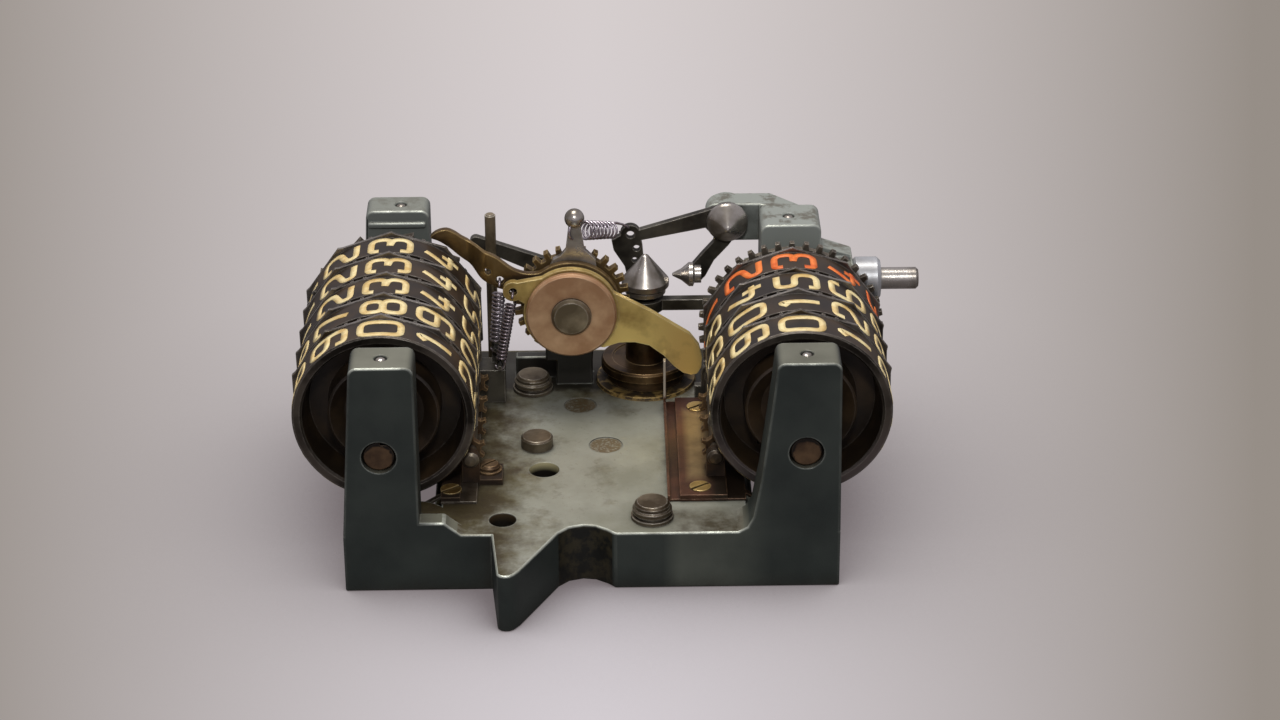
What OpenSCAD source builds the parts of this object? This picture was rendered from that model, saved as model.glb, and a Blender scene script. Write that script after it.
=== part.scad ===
// Adding counter: two banks of number wheels on an open cast frame.
// X runs across the two banks, Y from front to rear, Z is up, in millimetres.
// The origin lies on the underside, midway between the drum axles.

/* [Frame] */
// Distance between the two drum axles
axle_spacing = 58; // [56:0.5:62]
// Front face of the frame, ahead of the origin
front_reach = 28; // [28:0.5:31]
// Rear face of the frame, behind the origin
rear_reach = 27.8; // [27.4:0.2:30]
// Floor's upper face above the underside
floor_h = 8.75; // [8:0.25:11]
// Thickness of the floor plate
floor_t = 3; // [2:0.25:4]
// Thickness of the skirt and the side walls
skirt_t = 2.4; // [1.8:0.1:3]
// Height of the post tops above the drum axles
post_rise = 13.6; // [12.5:0.1:15]
// Width of a post at its top
post_w = 8.8; // [8:0.1:10]
// Thickness of the front posts
front_post_t = 6.5; // [5:0.1:6.8]
// Thickness of the rear left post
rear_left_post_t = 5.4; // [4.5:0.1:6]
// Thickness of the rear right post
rear_right_post_t = 7.5; // [6.5:0.1:8]
// Radius of the post corners
post_corner_r = 1.2; // [0.6:0.1:2]
// How far the V-shaped tab stands out in front
tab_reach = 11.1; // [8:0.1:14]
// Core radius of the tapped hole under the front left post
tapped_r = 2.5; // [2:0.05:3]
// Depth of the tapped hole
tapped_depth = 8; // [6:0.25:9]
// Radius of the front bolt hole in the floor
front_hole_r = 1.9; // [1.5:0.05:2.3]
// Radius of the middle bolt hole in the floor
middle_hole_r = 2.15; // [1.6:0.05:2.5]

/* [Number wheels] */
// Diameter of a number wheel
drum_d = 25.4; // [24:0.2:26.4]
// Spacing of the wheels along the axle
wheel_pitch = 6.68; // [6.5:0.02:6.7]
// Gap between neighbouring wheels
wheel_gap = 0.25; // [0.15:0.05:0.4]
// Gap between the front posts and the banks
bank_gap = 4.9; // [4.5:0.1:5.5]
// Width of the band that carries the numbers
band_w = 5.2; // [4.9:0.05:5.4]
// Width of the ten-cornered ring
saw_w = 0.45; // [0.3:0.05:0.5]
// Height of the stepped corners above the band
saw_h = 0.8; // [0.5:0.05:0.9]
// Depth of the step beside each corner
saw_step = 0.3; // [0.2:0.05:0.5]
// Depth of the gear teeth below the band
gear_depth = 0.6; // [0.5:0.05:0.7]
// Thickness of a wheel's rim
rim_t = 1.5; // [1:0.1:2]
// Thickness of a wheel's web
web_t = 1; // [0.8:0.1:1.5]
// Radius of a wheel's hub
wheel_hub_r = 4.2; // [3.6:0.1:5]
// Radius of the boss in the front wheel's dish
dish_boss_r = 7.5; // [6.5:0.1:8.5]
// How far the lowest point of a band lies under the floor face
drum_dip = 0.45; // [0.2:0.05:0.6]
// Radius of a drum axle
axle_r = 2.35; // [2:0.05:2.5]
// Radial clearance of every turning fit
running_fit = 0.05; // [0.03:0.01:0.08]
// Radial clearance of every fixed fit
seat_fit = 0.02; // [0.01:0.01:0.03]

/* [Transfer pinions] */
// Teeth on a wheel's gear ring
ring_teeth = 40; // [40:1:40]
// Teeth on a transfer pinion
pinion_teeth = 6; // [6:1:6]
// Tip radius of a transfer pinion
pinion_tip_r = 2.1; // [2.05:0.01:2.15]
// Radius of a pinion shaft
pinion_shaft_r = 0.75; // [0.6:0.05:0.8]
// Clearance between a pinion and the wheels on either side of it
pinion_gap = 0.06; // [0.04:0.01:0.08]
// Height of a drive lug above the band
lug_h = 0.4; // [0.3:0.05:0.5]
// Height of the pinions above the clamp bars
pinion_lift = 0.95; // [0.6:0.05:1.3]

/* [Detents] */
// Thickness of a detent leaf
leaf_t = 0.35; // [0.25:0.05:0.45]
// Thickness of a clamp bar
bar_t = 0.65; // [0.5:0.05:0.8]
// Gap between a detent finger and the saw teeth
detent_gap = 0.3; // [0.25:0.05:0.5]
// Head radius of the slotted clamp screws
clamp_head_r = 1.7; // [1.3:0.1:1.8]

/* [Input shaft] */
// Radius of the input shaft's free end
input_r = 1.6; // [1.4:0.05:1.7]
// Right end of the input shaft
input_end_x = 47.8; // [46:0.1:52]
// Length of the aluminium bush outside its boss
bush_len = 4; // [3:0.1:4.5]
// Outer radius of the aluminium bush
bush_r = 3.2; // [2.8:0.1:3.3]
// Teeth on the drive gear
drive_teeth = 15; // [15:1:15]
// Pitch radius of the drive gear
drive_pitch_r = 3.9; // [3.85:0.01:3.95]
// Pitch radius of the worm
worm_pitch_r = 1.7; // [1.65:0.01:1.75]

/* [Levers] */
// Lever pivot, left of the middle
pivot_left = 3; // [2.6:0.1:3.4]
// Lever pivot, above the drum axles
pivot_rise = 2.7; // [2.4:0.1:3]
// Radius of the lever pivot's journal
journal_r = 2.9; // [2.6:0.05:3]
// Radius of the bronze washer
washer_r = 6.6; // [6:0.1:6.7]
// Gap between a lever's tip and the teeth it works on
lever_gap = 0.35; // [0.3:0.05:0.5]
// Thickness of the brass levers
lever_t = 1.1; // [0.9:0.05:1.15]
// Tip radius of the coarse toothed wheel
toothed_r = 8.55; // [8:0.05:8.8]
// Height of the ball above the lever pivot
ball_rise = 13.6; // [12.5:0.1:14.5]
// Radius of the ball
ball_r = 1.45; // [1.2:0.05:1.6]

/* [Springs] */
// Wire radius of the lever springs
wire_r = 0.16; // [0.12:0.01:0.18]
// Coil radius of the front spring, to the middle of its wire
front_coil_r = 0.65; // [0.6:0.05:0.7]
// Coil radius of the rear spring
rear_coil_r = 0.8; // [0.7:0.05:0.85]
// Coil radius of the link spring
link_coil_r = 1.45; // [1.2:0.05:1.6]

/* [Spindle] */
// Spindle axis, right of the middle
spindle_x = 7.9; // [7.8:0.1:8]
// Spindle axis, behind the front face of the pedestal
spindle_back = 1.6; // [1.5:0.1:1.8]
// Radius of the spindle
spindle_r = 1.6; // [1.3:0.05:1.8]
// Radius of the cone nut
cone_r = 3.5; // [3:0.1:3.6]
// Radius of the bronze disc
disc_r = 6.6; // [6:0.1:6.7]
// Outer radius of the brass seat ring
seat_ring_r = 7.5; // [7:0.1:7.6]

/* [Hidden] */
$fn = 64;

LEFT = -1;
RIGHT = 1;
left_count = 5;
right_count = 4;
eps = 0.01;
ring_gap = 0.25;
lock_ring_t = 0.9;
gear_hub_len = 4.68;
body_gap = 0.3;
slice_gap = 0.1;
spring_room = 0.6;
hub_step = 0.05;

// Heights and places that follow from the driving dimensions
axle_x = axle_spacing / 2;
band_r = drum_d / 2;
axle_h = floor_h + band_r - drum_dip;
post_top = axle_h + post_rise;
front_y = -front_reach;
front_post_y = front_y + front_post_t;
bank_y = front_post_y + bank_gap;
rear_y = rear_reach;
floor_under = floor_h - floor_t;
wheel_len = wheel_pitch - wheel_gap;
saw_y = band_w;
gear_y = band_w + saw_w;
gear_w = wheel_len - gear_y;
pinion_len = gear_w + wheel_gap - 2 * pinion_gap;
saw_tip_r = band_r + saw_h;
gear_tip_r = band_r - 0.05;
gear_root_r = gear_tip_r - gear_depth;
left_bank_end = bank_y + left_count * wheel_pitch - wheel_gap;
right_bank_end = bank_y + right_count * wheel_pitch - wheel_gap;

// Frame outline
left_side_x = axle_x + 5.4;
right_side_x = axle_x + 4.9;
left_post_in = axle_x - 5.1;
right_post_in = axle_x - 4.2;
rear_left_post_y = rear_y - rear_left_post_t;
rear_right_post_y = right_bank_end + ring_gap + lock_ring_t + gear_hub_len + body_gap;
rear_right_post_end = rear_right_post_y + rear_right_post_t;
slot_in = axle_x - 7.7;
slot_out = right_side_x - skirt_t;
slot_front = front_post_y;
side_wall_top = axle_h - sqrt(pow(saw_tip_r, 2) - pow(slot_out - axle_x, 2)) - 0.9;
plate_left = -left_side_x;
tab_tip_x = -12;
tab_root_left = -14.1;
tab_root_right = 2.9;
notch_y = front_y + 2.5;

// Transfer pinion shafts: height by their seat, distance by their mesh
bar_top = floor_h + leaf_t + bar_t;
pinion_z = bar_top + pinion_lift + pinion_tip_r;
mesh_distance = gear_tip_r + pinion_tip_r - 0.4;
pinion_dx = sqrt(pow(mesh_distance, 2) - pow(axle_h - pinion_z, 2));
pinion_angle = atan2(axle_h - pinion_z, pinion_dx);
shaft_start_y = bank_y + 2.1;
left_shaft_end = bank_y + 4 * wheel_pitch + 2.9;
right_eye_y = right_bank_end + 1.6;
right_shaft_end = right_eye_y + 1.3;

// Lever stack along the central axle, from front to rear
pivot_x = -pivot_left;
pivot_z = axle_h + pivot_rise;
stack_y = right_bank_end - 1.67;
washer_y = stack_y + 0.8;
washer_t = 1;
front_lever_y = washer_y + washer_t + slice_gap;
rear_lever_y = front_lever_y + lever_t + spring_room;
ball_arm_y = rear_lever_y + lever_t + slice_gap;
ball_arm_t = 0.9;
toothed_y = ball_arm_y + ball_arm_t + slice_gap;
toothed_t = 1.3;
axle_flange_t = 1;
pedestal_y = toothed_y + toothed_t + slice_gap + axle_flange_t;
pedestal_t = 4.2;
rear_arm_y = pedestal_y + pedestal_t + 1.5;
rear_arm_t = 1.1;
clip_y = rear_arm_y + rear_arm_t + slice_gap;
clip_t = 0.8;
spindle_y = pedestal_y + spindle_back;
stem_r = journal_r - 0.9;
ratchet_y = left_bank_end + slice_gap;
ratchet_t = 1.2;
lock_ring_y = right_bank_end + ring_gap;

// Input shaft and worm above the drive gear
input_y = rear_right_post_y - 1.4;
input_z = axle_h + drive_pitch_r + worm_pitch_r;
worm_lead = 2 * PI * drive_pitch_r / drive_teeth;
worm_tip_r = worm_pitch_r + 0.3;
worm_root_r = worm_pitch_r - 0.4;
worm_half = 3.4;
drive_gear_t = 1.2;
drive_hub_r = 3.1;
boss_in_x = axle_x + 5.2;
boss_out_x = axle_x + 9.2;
lug_in_x = axle_x - 6.6;

// Bell-crank
crank_x = axle_x - 8.9;
crank_z = axle_h + 11.5;
crank_t = 1.1;
arm_face_y = rear_right_post_end + 0.2;
crank_y = arm_face_y - crank_t - 0.2;
crank_screw_r = 1.2;
crank_head_r = 3.03;

// Spring ends
eye_x = pivot_x - 8.4;
eye_z = pivot_z + 3.5;
front_peg_x = eye_x - 2.2;
front_peg_z = floor_h + 6.25;
rear_eye_x = pivot_x - 10.35;
rear_eye_z = pivot_z + 4.6;
rear_peg_x = rear_eye_x - 0.9;
rear_peg_z = floor_h + 8.3;
ball_lean = 0.62;
peg_r = 0.3;
peg_loop_r = 0.62;
eye_r = 0.6;
ear_w = 0.9;
eye_band = eye_r + ear_w / 2;
eye_loop_r = 0.95;
bracket_y = bank_y + 4 * wheel_pitch + 0.7;
front_spring_y = front_lever_y + lever_t / 2;
rear_spring_y = rear_lever_y + lever_t / 2;

// ---------------------------------------------------------------- helpers

// A flat shape, drawn as width by height, becomes a plate from y to y + t
module plate(y, t) {
    translate([0, y + t, 0]) rotate([90, 0, 0]) linear_extrude(t) children();
}

// A profile, drawn as radius by depth, turned about the Y axis
module spun(x, y, z) {
    translate([x, y, z]) rotate([-90, 0, 0]) rotate_extrude() children();
}

// A round bar along Y
module bar_y(x, y, z, r, len) {
    translate([x, y, z]) rotate([-90, 0, 0]) cylinder(r = r, h = len);
}

// A round bar along X
module bar_x(x, y, z, r, len) {
    translate([x, y, z]) rotate([0, 90, 0]) cylinder(r = r, h = len);
}

// A block between two corners
module block(a, b) {
    translate(a) cube(b - a);
}

// A rectangle between two corners
module block2(a, b) {
    translate(a) square(b - a);
}

// Points of a ring of straight-sided teeth
function tooth_points(n, root, tip, root_share, tip_share, phase = 0) = [
    for (i = [0 : n - 1])
        for (p = [[-root_share, root], [-tip_share, tip], [tip_share, tip], [root_share, root]])
            let (a = phase + (i + p[0] / 2) * 360 / n)
                [p[1] * cos(a), p[1] * sin(a)]
];

// Points of a ring with n corners, each with a small step on one side
function saw_points(n, root, tip, phase = 0) = [
    for (i = [0 : n - 1])
        for (p = [[-0.07, root], [0, tip]])
            let (a = phase + (i + p[0]) * 360 / n)
                [p[1] * cos(a), p[1] * sin(a)]
];

function unit(v) = v / norm(v);
function turned(v, a) = [v[0] * cos(a) - v[1] * sin(a), v[0] * sin(a) + v[1] * cos(a)];

// Cross directions carried along a path without twist
function path_tangent(p, i) = unit(p[min(i + 1, len(p) - 1)] - p[max(i - 1, 0)]);
function path_sides(p, first) = [
    for (i = 0, s = first; i < len(p); i = i + 1,
         s = i < len(p) ? unit(s - (s * path_tangent(p, i)) * path_tangent(p, i)) : s)
        unit(s - (s * path_tangent(p, i)) * path_tangent(p, i))
];

// A wire of radius r swept along the points p
module wire(p, r, first, sides = 6) {
    s = path_sides(p, first);
    n = len(p);
    rings = [
        for (i = [0 : n - 1])
            let (t = path_tangent(p, i), u = s[i], v = cross(t, u))
                for (k = [0 : sides - 1])
                    p[i] + r * (cos(k * 360 / sides) * u + sin(k * 360 / sides) * v)
    ];
    walls = [
        for (i = [0 : n - 2])
            for (k = [0 : sides - 1])
                let (a = i * sides + k, b = i * sides + (k + 1) % sides)
                    [a, a + sides, b + sides, b]
    ];
    caps = [[for (k = [0 : sides - 1]) k],
            [for (k = [0 : sides - 1]) n * sides - 1 - k]];
    polyhedron(points = rings, faces = concat(walls, caps), convexity = 8);
}

// Points of an open loop round c, in the plane of u and v
function loop_path(c, u, v, r, from, to, n = 10) = [
    for (i = [0 : n - 1]) let (q = from + (to - from) * i / (n - 1)) c + r * (cos(q) * u + sin(q) * v)
];

// Points of the close turns between a and b
function coil_path(a, b, r, turns, steps = 10) =
    let (axis = unit(b - a), side = unit(cross(axis, [0, 1, 0.2])), up = cross(side, axis))
    [for (i = [0 : turns * steps]) let (q = i * 360 / steps)
        a + (b - a) * i / (turns * steps) + r * (cos(q) * side + sin(q) * up)];

// A lever spring: its lower loop lies round a peg, its upper loop passes through an eye
function lever_spring_path(peg, eye, coil_r, turns) =
    let (axis = unit(eye - peg), side = unit(cross(axis, [0, 1, 0])),
         hold = eye - eye_band * axis)
    concat(
        loop_path(peg, axis, side, peg_loop_r, 200, 10, 8),
        coil_path(peg + axis * (peg_loop_r + 0.35), hold - axis * (eye_loop_r + 0.3), coil_r, turns),
        loop_path(hold, axis, [0, 1, 0], eye_loop_r, 160, -140, 11)
    );

// ---------------------------------------------------------------- frame

// Outline of the frame seen from above, ahead of the banks
module front_outline() {
    polygon([
        [plate_left, front_y], [tab_root_left, front_y],
        [tab_tip_x - 1.3, front_y - tab_reach * 0.8],
        [tab_tip_x - 1.15, front_y - tab_reach * 0.94],
        [tab_tip_x - 0.7, front_y - tab_reach * 0.985],
        [tab_tip_x - 0.1, front_y - tab_reach],
        [tab_tip_x + 0.5, front_y - tab_reach * 0.995],
        [tab_tip_x + 1.1, front_y - tab_reach * 0.965],
        [tab_tip_x + 1.9, front_y - tab_reach * 0.87],
        [tab_tip_x + 5.3, front_y - tab_reach * 0.28],
        [tab_tip_x + 7.1, front_y + 0.4],
        [tab_tip_x + 8.6, front_y + 1.9],
        [tab_tip_x + 10.5, front_y + 2.5],
        [tab_tip_x + 12.2, front_y + 2.2],
        [tab_tip_x + 13.8, front_y + 1.1],
        [tab_root_right, front_y], [right_side_x, front_y],
        [right_side_x, front_post_y], [plate_left, front_post_y]
    ]);
}

// One post seen from the front, with rounded top corners
module post_shape(in_top, in_low, out_top, out_low, low = 0) {
    r = post_corner_r;
    polygon([
        [in_low, low], [out_low, low], [out_low, floor_h - 0.4], [out_top, post_top - r],
        [out_top - sign(out_top - in_top) * r, post_top],
        [in_top + sign(out_top - in_top) * r, post_top], [in_top, post_top - r]
    ]);
    for (x = [in_top + sign(out_top - in_top) * r, out_top - sign(out_top - in_top) * r])
        translate([x, post_top - r]) circle(r);
}

module front_posts() {
    left_out = -left_post_in - post_w;
    plate(front_y, front_post_t) {
        post_shape(-left_post_in, -left_post_in, left_out, plate_left);
        post_shape(right_post_in, right_post_in - 3, right_post_in + post_w, right_side_x);
        polygon([
            [right_post_in - 3, floor_h], [right_post_in - 5, floor_h],
            [right_post_in - 3.7, floor_h + 0.7], [right_post_in - 2.9, floor_h + 2.2],
            [right_post_in - 1.9, floor_h + 8], [right_post_in, post_top - post_corner_r - 1],
            [right_post_in, floor_h]
        ]);
    }
    // Raised step beside the left post
    plate(front_y, skirt_t + 0.6)
        polygon([
            [-left_post_in - eps, 0], [-left_post_in - eps, floor_h + 1.9],
            [-left_post_in + 3.4, floor_h + 1.9], [-left_post_in + 5.7, floor_h],
            [-left_post_in + 5.7, 0]
        ]);
}

module rear_posts() {
    plate(rear_left_post_y, rear_left_post_t)
        post_shape(-left_post_in, -left_post_in, -left_post_in - post_w - 0.5, plate_left);
    block([-left_post_in - post_w - 0.2, rear_left_post_y - 0.45, post_top - 2.6],
          [-left_post_in - 0.5, rear_left_post_y + 1, post_top - 1.7]);
    plate(rear_right_post_y, rear_right_post_t)
        post_shape(right_post_in, right_post_in, right_post_in + post_w, right_side_x);
    // Arm behind the right post, round-ended where it carries the bell-crank
    arm_y = rear_right_post_end - eps;
    arm_chamfer = 0.6 * (rear_y - arm_face_y);
    intersection() {
        union() {
            block([crank_x, arm_y, crank_z - 3.85], [right_post_in + post_w, rear_y, post_top]);
            bar_y(crank_x, arm_y, crank_z - 0.75, 3.1, rear_y - arm_y);
            block([crank_x - 3.1, arm_y, crank_z - 0.75], [crank_x, rear_y, post_top - 1.4]);
            bar_y(crank_x - 1.7, arm_y, post_top - 1.4, 1.4, rear_y - arm_y);
            block([crank_x - 1.7, arm_y, crank_z], [crank_x + 1, rear_y, post_top]);
        }
        translate([0, 0, -eps]) linear_extrude(post_top + 1)
            polygon([
                [crank_x - 4, arm_face_y], [crank_x - 4, rear_y - arm_chamfer], [crank_x - 1.4, rear_y],
                [right_post_in + 1.9, rear_y], [right_post_in + 6, arm_y], [right_post_in + 6, arm_y - 1],
                [right_post_in, arm_y - 1], [right_post_in, arm_face_y]
            ]);
    }
    block([right_post_in, arm_y - 0.5, 0], [right_post_in + post_w, rear_y, floor_h]);
}

// Web and boss that hold the aluminium bush, and the lug at the shaft's inner end
module shaft_bearings() {
    plate(rear_right_post_y, 3.2)
        polygon([
            [right_post_in + post_w - 1, post_top - 3], [boss_out_x, input_z + 3.1],
            [boss_out_x, input_z - 3], [right_post_in + post_w - 1, axle_h - 6]
        ]);
    block([boss_in_x, input_y - 2.7, input_z - 3.4], [boss_out_x, rear_right_post_y + 1, input_z + 3.1]);
    block([lug_in_x, input_y - 2.3, input_z - 2.5],
          [lug_in_x + 2.2, rear_right_post_y + 1.5, input_z + 2.3]);
    block([lug_in_x, rear_right_post_y, input_z - 2.5],
          [right_post_in + 0.5, rear_right_post_y + 1.5, input_z + 2.3]);
}

// Pedestal that carries the central axle
module pedestal() {
    low_top = floor_h + 3.85;
    block([pivot_x - 2.4, pedestal_y, floor_under], [pivot_x + 3, pedestal_y + pedestal_t, low_top]);
    block([pivot_x - 8.5, pedestal_y + 2.3, floor_under],
          [pivot_x, pedestal_y + pedestal_t, floor_h + 3.4]);
    plate(pedestal_y, pedestal_t)
        polygon([
            [pivot_x - 4, low_top - eps], [pivot_x + 3, low_top - eps],
            [pivot_x + 3.9, pivot_z], [pivot_x - 3.9, pivot_z]
        ]);
    bar_y(pivot_x, pedestal_y, pivot_z, 3.9, pedestal_t);
}

// Floor plate with its skirt and ribs
module floor_plate() {
    rear_in = slot_in;
    linear_extrude(floor_h) front_outline();
    // Plate between the two slots
    block([-rear_in, front_post_y - eps, floor_under], [rear_in, rear_y, floor_h]);
    // Rear wall and cross ribs
    block([plate_left, rear_y - skirt_t, 0], [right_side_x, rear_y, floor_h]);
    block([plate_left, rear_left_post_y, 0], [-rear_in, rear_y, floor_h]);
    block([rear_in, rear_left_post_y, 0], [right_side_x, rear_y, floor_h]);
    for (s = [LEFT, RIGHT])
        block([s * rear_in - skirt_t / 2, front_post_y - eps, 0],
              [s * rear_in + skirt_t / 2, rear_y, floor_under + eps]);
    block([plate_left, front_post_y - eps, 0], [plate_left + skirt_t, rear_y, side_wall_top]);
    block([slot_out, front_post_y - eps, 0], [right_side_x, rear_y, side_wall_top]);
    block([-rear_in, -skirt_t / 2, 0], [rear_in, skirt_t / 2, floor_under + eps]);
    block([-skirt_t / 2, front_post_y - eps, 0], [skirt_t / 2, rear_y, floor_under + eps]);
    cylinder(r = 4.5, h = floor_under + eps);
    // Bosses under the tapped and bolted places
    translate([-left_post_in - 0.9, front_y + 5, 0]) cylinder(r = tapped_r + 2.4, h = floor_h);
    for (p = floor_screw_places()) translate([p[0], p[1], 0]) cylinder(r = 3.4, h = floor_under + eps);
}

// Hollows cut into the underside of the thick front
module front_hollows() {
    hollow_top = floor_under;
    block([front_hole_at[0] + front_hole_r + 1.2, front_y + skirt_t + 2.4, -1],
          [tab_root_right + 1.5, front_post_y + 1, hollow_top]);
    block([tab_root_right + 4.6, front_y + skirt_t, -1],
          [right_post_in - 5.5, front_post_y + 1, hollow_top]);
}

function floor_screw_places() = [[8.1, front_y + 4.5], [pivot_x - 5.9, pedestal_y - 1.4]];
front_hole_at = [tab_tip_x - 0.6, front_y + 4.1];
middle_hole_at = [-7, front_y + 18.2];
stud_at = [-8.1, bank_y + 13.9];
bracket_screw_at = [-14.7, bank_y + 5.5];
guide_pin_at = [-14.85, pedestal_y + 4.6];
screw_core_r = 1.2;

module frame_casting() {
    color("slategray") difference() {
        union() {
            floor_plate();
            front_posts();
            rear_posts();
            shaft_bearings();
            pedestal();
        }
        front_hollows();
        // Axle bores
        bar_y(-axle_x, front_y - 1, axle_h, axle_r + running_fit, front_reach + rear_reach + 2);
        bar_y(axle_x, front_y - 1, axle_h, axle_r + running_fit, front_reach + rear_right_post_end + 1 + eps);
        // Holes for the axle pins, each with a dished mouth
        for (p = axle_pin_places())
            translate([p[0], p[1], axle_h]) rotate_extrude()
                polygon([[0, 0], [axle_pin_r + seat_fit, 0], [axle_pin_r + seat_fit, post_rise - 0.3],
                         [axle_pin_r + 0.4, post_rise], [axle_pin_r + 0.4, post_rise + 1],
                         [0, post_rise + 1]]);
        // Input shaft: bush seat, worm relief, inner bearing
        bar_x(boss_in_x - 1, input_y, input_z, bush_spigot_r + seat_fit, boss_out_x - boss_in_x + 2);
        bar_x(lug_in_x - 1, input_y, input_z, input_journal_r + running_fit, 4);
        bar_x(lug_in_x + 2.2, input_y, input_z, worm_tip_r + 0.45, boss_in_x - lug_in_x - 2.2);
        // Central axle seat and bell-crank screw seat
        bar_y(pivot_x, pedestal_y - 1, pivot_z, stem_r + seat_fit, pedestal_t + 2);
        bar_y(crank_x, arm_face_y - 1, crank_z, crank_screw_r + seat_fit, rear_y - arm_face_y + 2);
        // Holes in the floor
        translate([front_hole_at[0], front_hole_at[1], -1]) cylinder(r = front_hole_r, h = floor_h + 2);
        translate([middle_hole_at[0], middle_hole_at[1], -1]) cylinder(r = middle_hole_r, h = floor_h + 2);
        translate([-left_post_in - 0.9, front_y + 5, -1]) cylinder(r = tapped_r, h = tapped_depth + 1);
        translate([spindle_x, spindle_y, -1]) cylinder(r = spindle_r + running_fit, h = floor_h + 2);
        for (p = floor_screw_places())
            translate([p[0], p[1], -1]) cylinder(r = screw_core_r + seat_fit, h = floor_h + 2);
        translate([stud_at[0], stud_at[1], 0]) cylinder(r = screw_core_r + seat_fit, h = floor_h + 1);
        translate([bracket_screw_at[0], bracket_screw_at[1], floor_under - 1])
            cylinder(r = bracket_core_r + seat_fit, h = floor_t + 2);
        translate([guide_pin_at[0], guide_pin_at[1], floor_under - 1])
            cylinder(r = guide_pin_r + seat_fit, h = floor_t + 2);
        for (p = clamp_screw_places())
            translate([p[0], p[1], floor_under - 1]) cylinder(r = bracket_core_r + seat_fit, h = floor_t + 2);
        // Punched spots on the floor
        for (p = [[-1.9, bank_y + 26.3], [1.8, bank_y + 14]])
            translate([p[0], p[1], floor_h - 0.15]) cylinder(r = 2.4, h = 1);
    }
}

// ---------------------------------------------------------------- axles

axle_pin_r = 0.75;
function axle_pin_places() = [
    [-axle_x + 0.6, front_y + 3.3], [axle_x, front_y + 3.3],
    [-axle_x + 0.9, rear_left_post_y + 2.7], [axle_x, rear_right_post_y + 3.7]
];

module left_axle() {
    total = front_reach + rear_reach - 0.75;
    color("saddlebrown") difference() {
        spun(-axle_x, front_y + 0.5, axle_h)
            polygon([[0, 0], [axle_r - 0.35, 0], [axle_r, 0.35],
                     [axle_r, total - 0.35], [axle_r - 0.35, total], [0, total]]);
        // Notch in the front end
        block([-axle_x + 0.2, front_y, axle_h + axle_r - 0.7],
              [-axle_x + 1.6, front_y + 3, axle_h + axle_r + 1]);
        for (p = axle_pin_places()) axle_pin_seat(p);
    }
}

module right_axle() {
    total = front_reach + rear_right_post_end - 0.6;
    color("saddlebrown") difference() {
        spun(axle_x, front_y + 0.5, axle_h)
            polygon([[0, 0], [axle_r - 0.35, 0], [axle_r, 0.35],
                     [axle_r, total - 0.35], [axle_r - 0.35, total], [0, total]]);
        for (p = axle_pin_places()) axle_pin_seat(p);
    }
}

// Flat-bottomed seat in an axle for the end of its pin
module axle_pin_seat(p) {
    translate([p[0], p[1], axle_h + axle_r - 0.8]) cylinder(r = axle_pin_r + seat_fit, h = 3);
}

module axle_pins() {
    color("silver") for (p = axle_pin_places())
        translate([p[0], p[1], axle_h]) rotate_extrude()
            polygon([[0, axle_r - 0.75], [axle_pin_r, axle_r - 0.75], [axle_pin_r, post_rise - 0.45],
                     [axle_pin_r - 0.2, post_rise - 0.2], [0.25, post_rise - 0.08], [0, post_rise - 0.06]]);
}

// Distance collars between the wheels and the posts
module collar(x, y, len) {
    spun(x, y, axle_h)
        polygon([[axle_r + seat_fit, 0], [3.6, 0], [3.6, len], [axle_r + seat_fit, len]]);
}

module axle_collars() {
    color("dimgray") {
        collar(-axle_x, front_post_y + slice_gap, bank_y - front_post_y - slice_gap - 0.2);
        collar(axle_x, front_post_y + slice_gap, bank_y - front_post_y - slice_gap - 0.2);
        collar(-axle_x, ratchet_y + ratchet_t + 0.2, rear_left_post_y - ratchet_y - ratchet_t - 0.5);
    }
}

// ---------------------------------------------------------------- wheels

ring_phase_step = 360 / ring_teeth;

// Rim, web and hub of one wheel, drawn as radius by depth
module wheel_profile(front) {
    bore = axle_r + running_fit;
    inner = band_r - rim_t;
    web_y = wheel_len - 0.3 - web_t;
    core = gear_root_r + 0.05;
    if (front)
        polygon([
            [bore, 0], [wheel_hub_r, 0], [wheel_hub_r, 2.4], [dish_boss_r - 2, 2.4],
            [dish_boss_r, 1], [dish_boss_r + 0.3, 1.3], [dish_boss_r + 0.5, web_y],
            [inner - 0.6, web_y], [inner + 0.1, 0.3], [inner + 0.4, 0], [band_r - 0.2, 0],
            [band_r, 0.2], [band_r, gear_y], [core, gear_y], [core, wheel_len],
            [inner, wheel_len], [inner, web_y + web_t],
            [wheel_hub_r, web_y + web_t], [wheel_hub_r, wheel_len], [bore, wheel_len]
        ]);
    else
        polygon([
            [bore, 0], [wheel_hub_r, 0], [wheel_hub_r, web_y], [inner, web_y],
            [inner, 0], [band_r, 0], [band_r, gear_y], [core, gear_y],
            [core, wheel_len], [inner, wheel_len], [inner, web_y + web_t],
            [wheel_hub_r, web_y + web_t], [wheel_hub_r, wheel_len], [bore, wheel_len]
        ]);
}

// Angle, about +Y seen as width by height, from a drum axle to its pinion shaft
function pinion_direction(side) = side == LEFT ? -pinion_angle : 180 + pinion_angle;

module number_wheel(side, i) {
    x = side * axle_x;
    y = bank_y + (i - 1) * wheel_pitch;
    color("darkslategray") difference() {
        union() {
            spun(x, y, axle_h) wheel_profile(i == 1);
            if (i > 1) drive_lugs(x, y, 50 + 31 * i);
            translate([x, 0, axle_h]) {
                plate(y + saw_y, saw_w) saw_ring(10, saw_tip_r - saw_step, saw_tip_r, 90);
                plate(y + gear_y - eps, gear_w + eps) difference() {
                    polygon(tooth_points(ring_teeth, gear_root_r, gear_tip_r, 0.44, 0.24,
                                         pinion_direction(side) + ring_phase_step / 2));
                    circle(band_r - rim_t);
                }
            }
        }
        // Small index hole in the dish of the front wheel
        if (i == 1)
            bar_y(x - 5.4, y - 1, axle_h - 7.2, 0.45, wheel_len + 2);
    }
}

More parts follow.
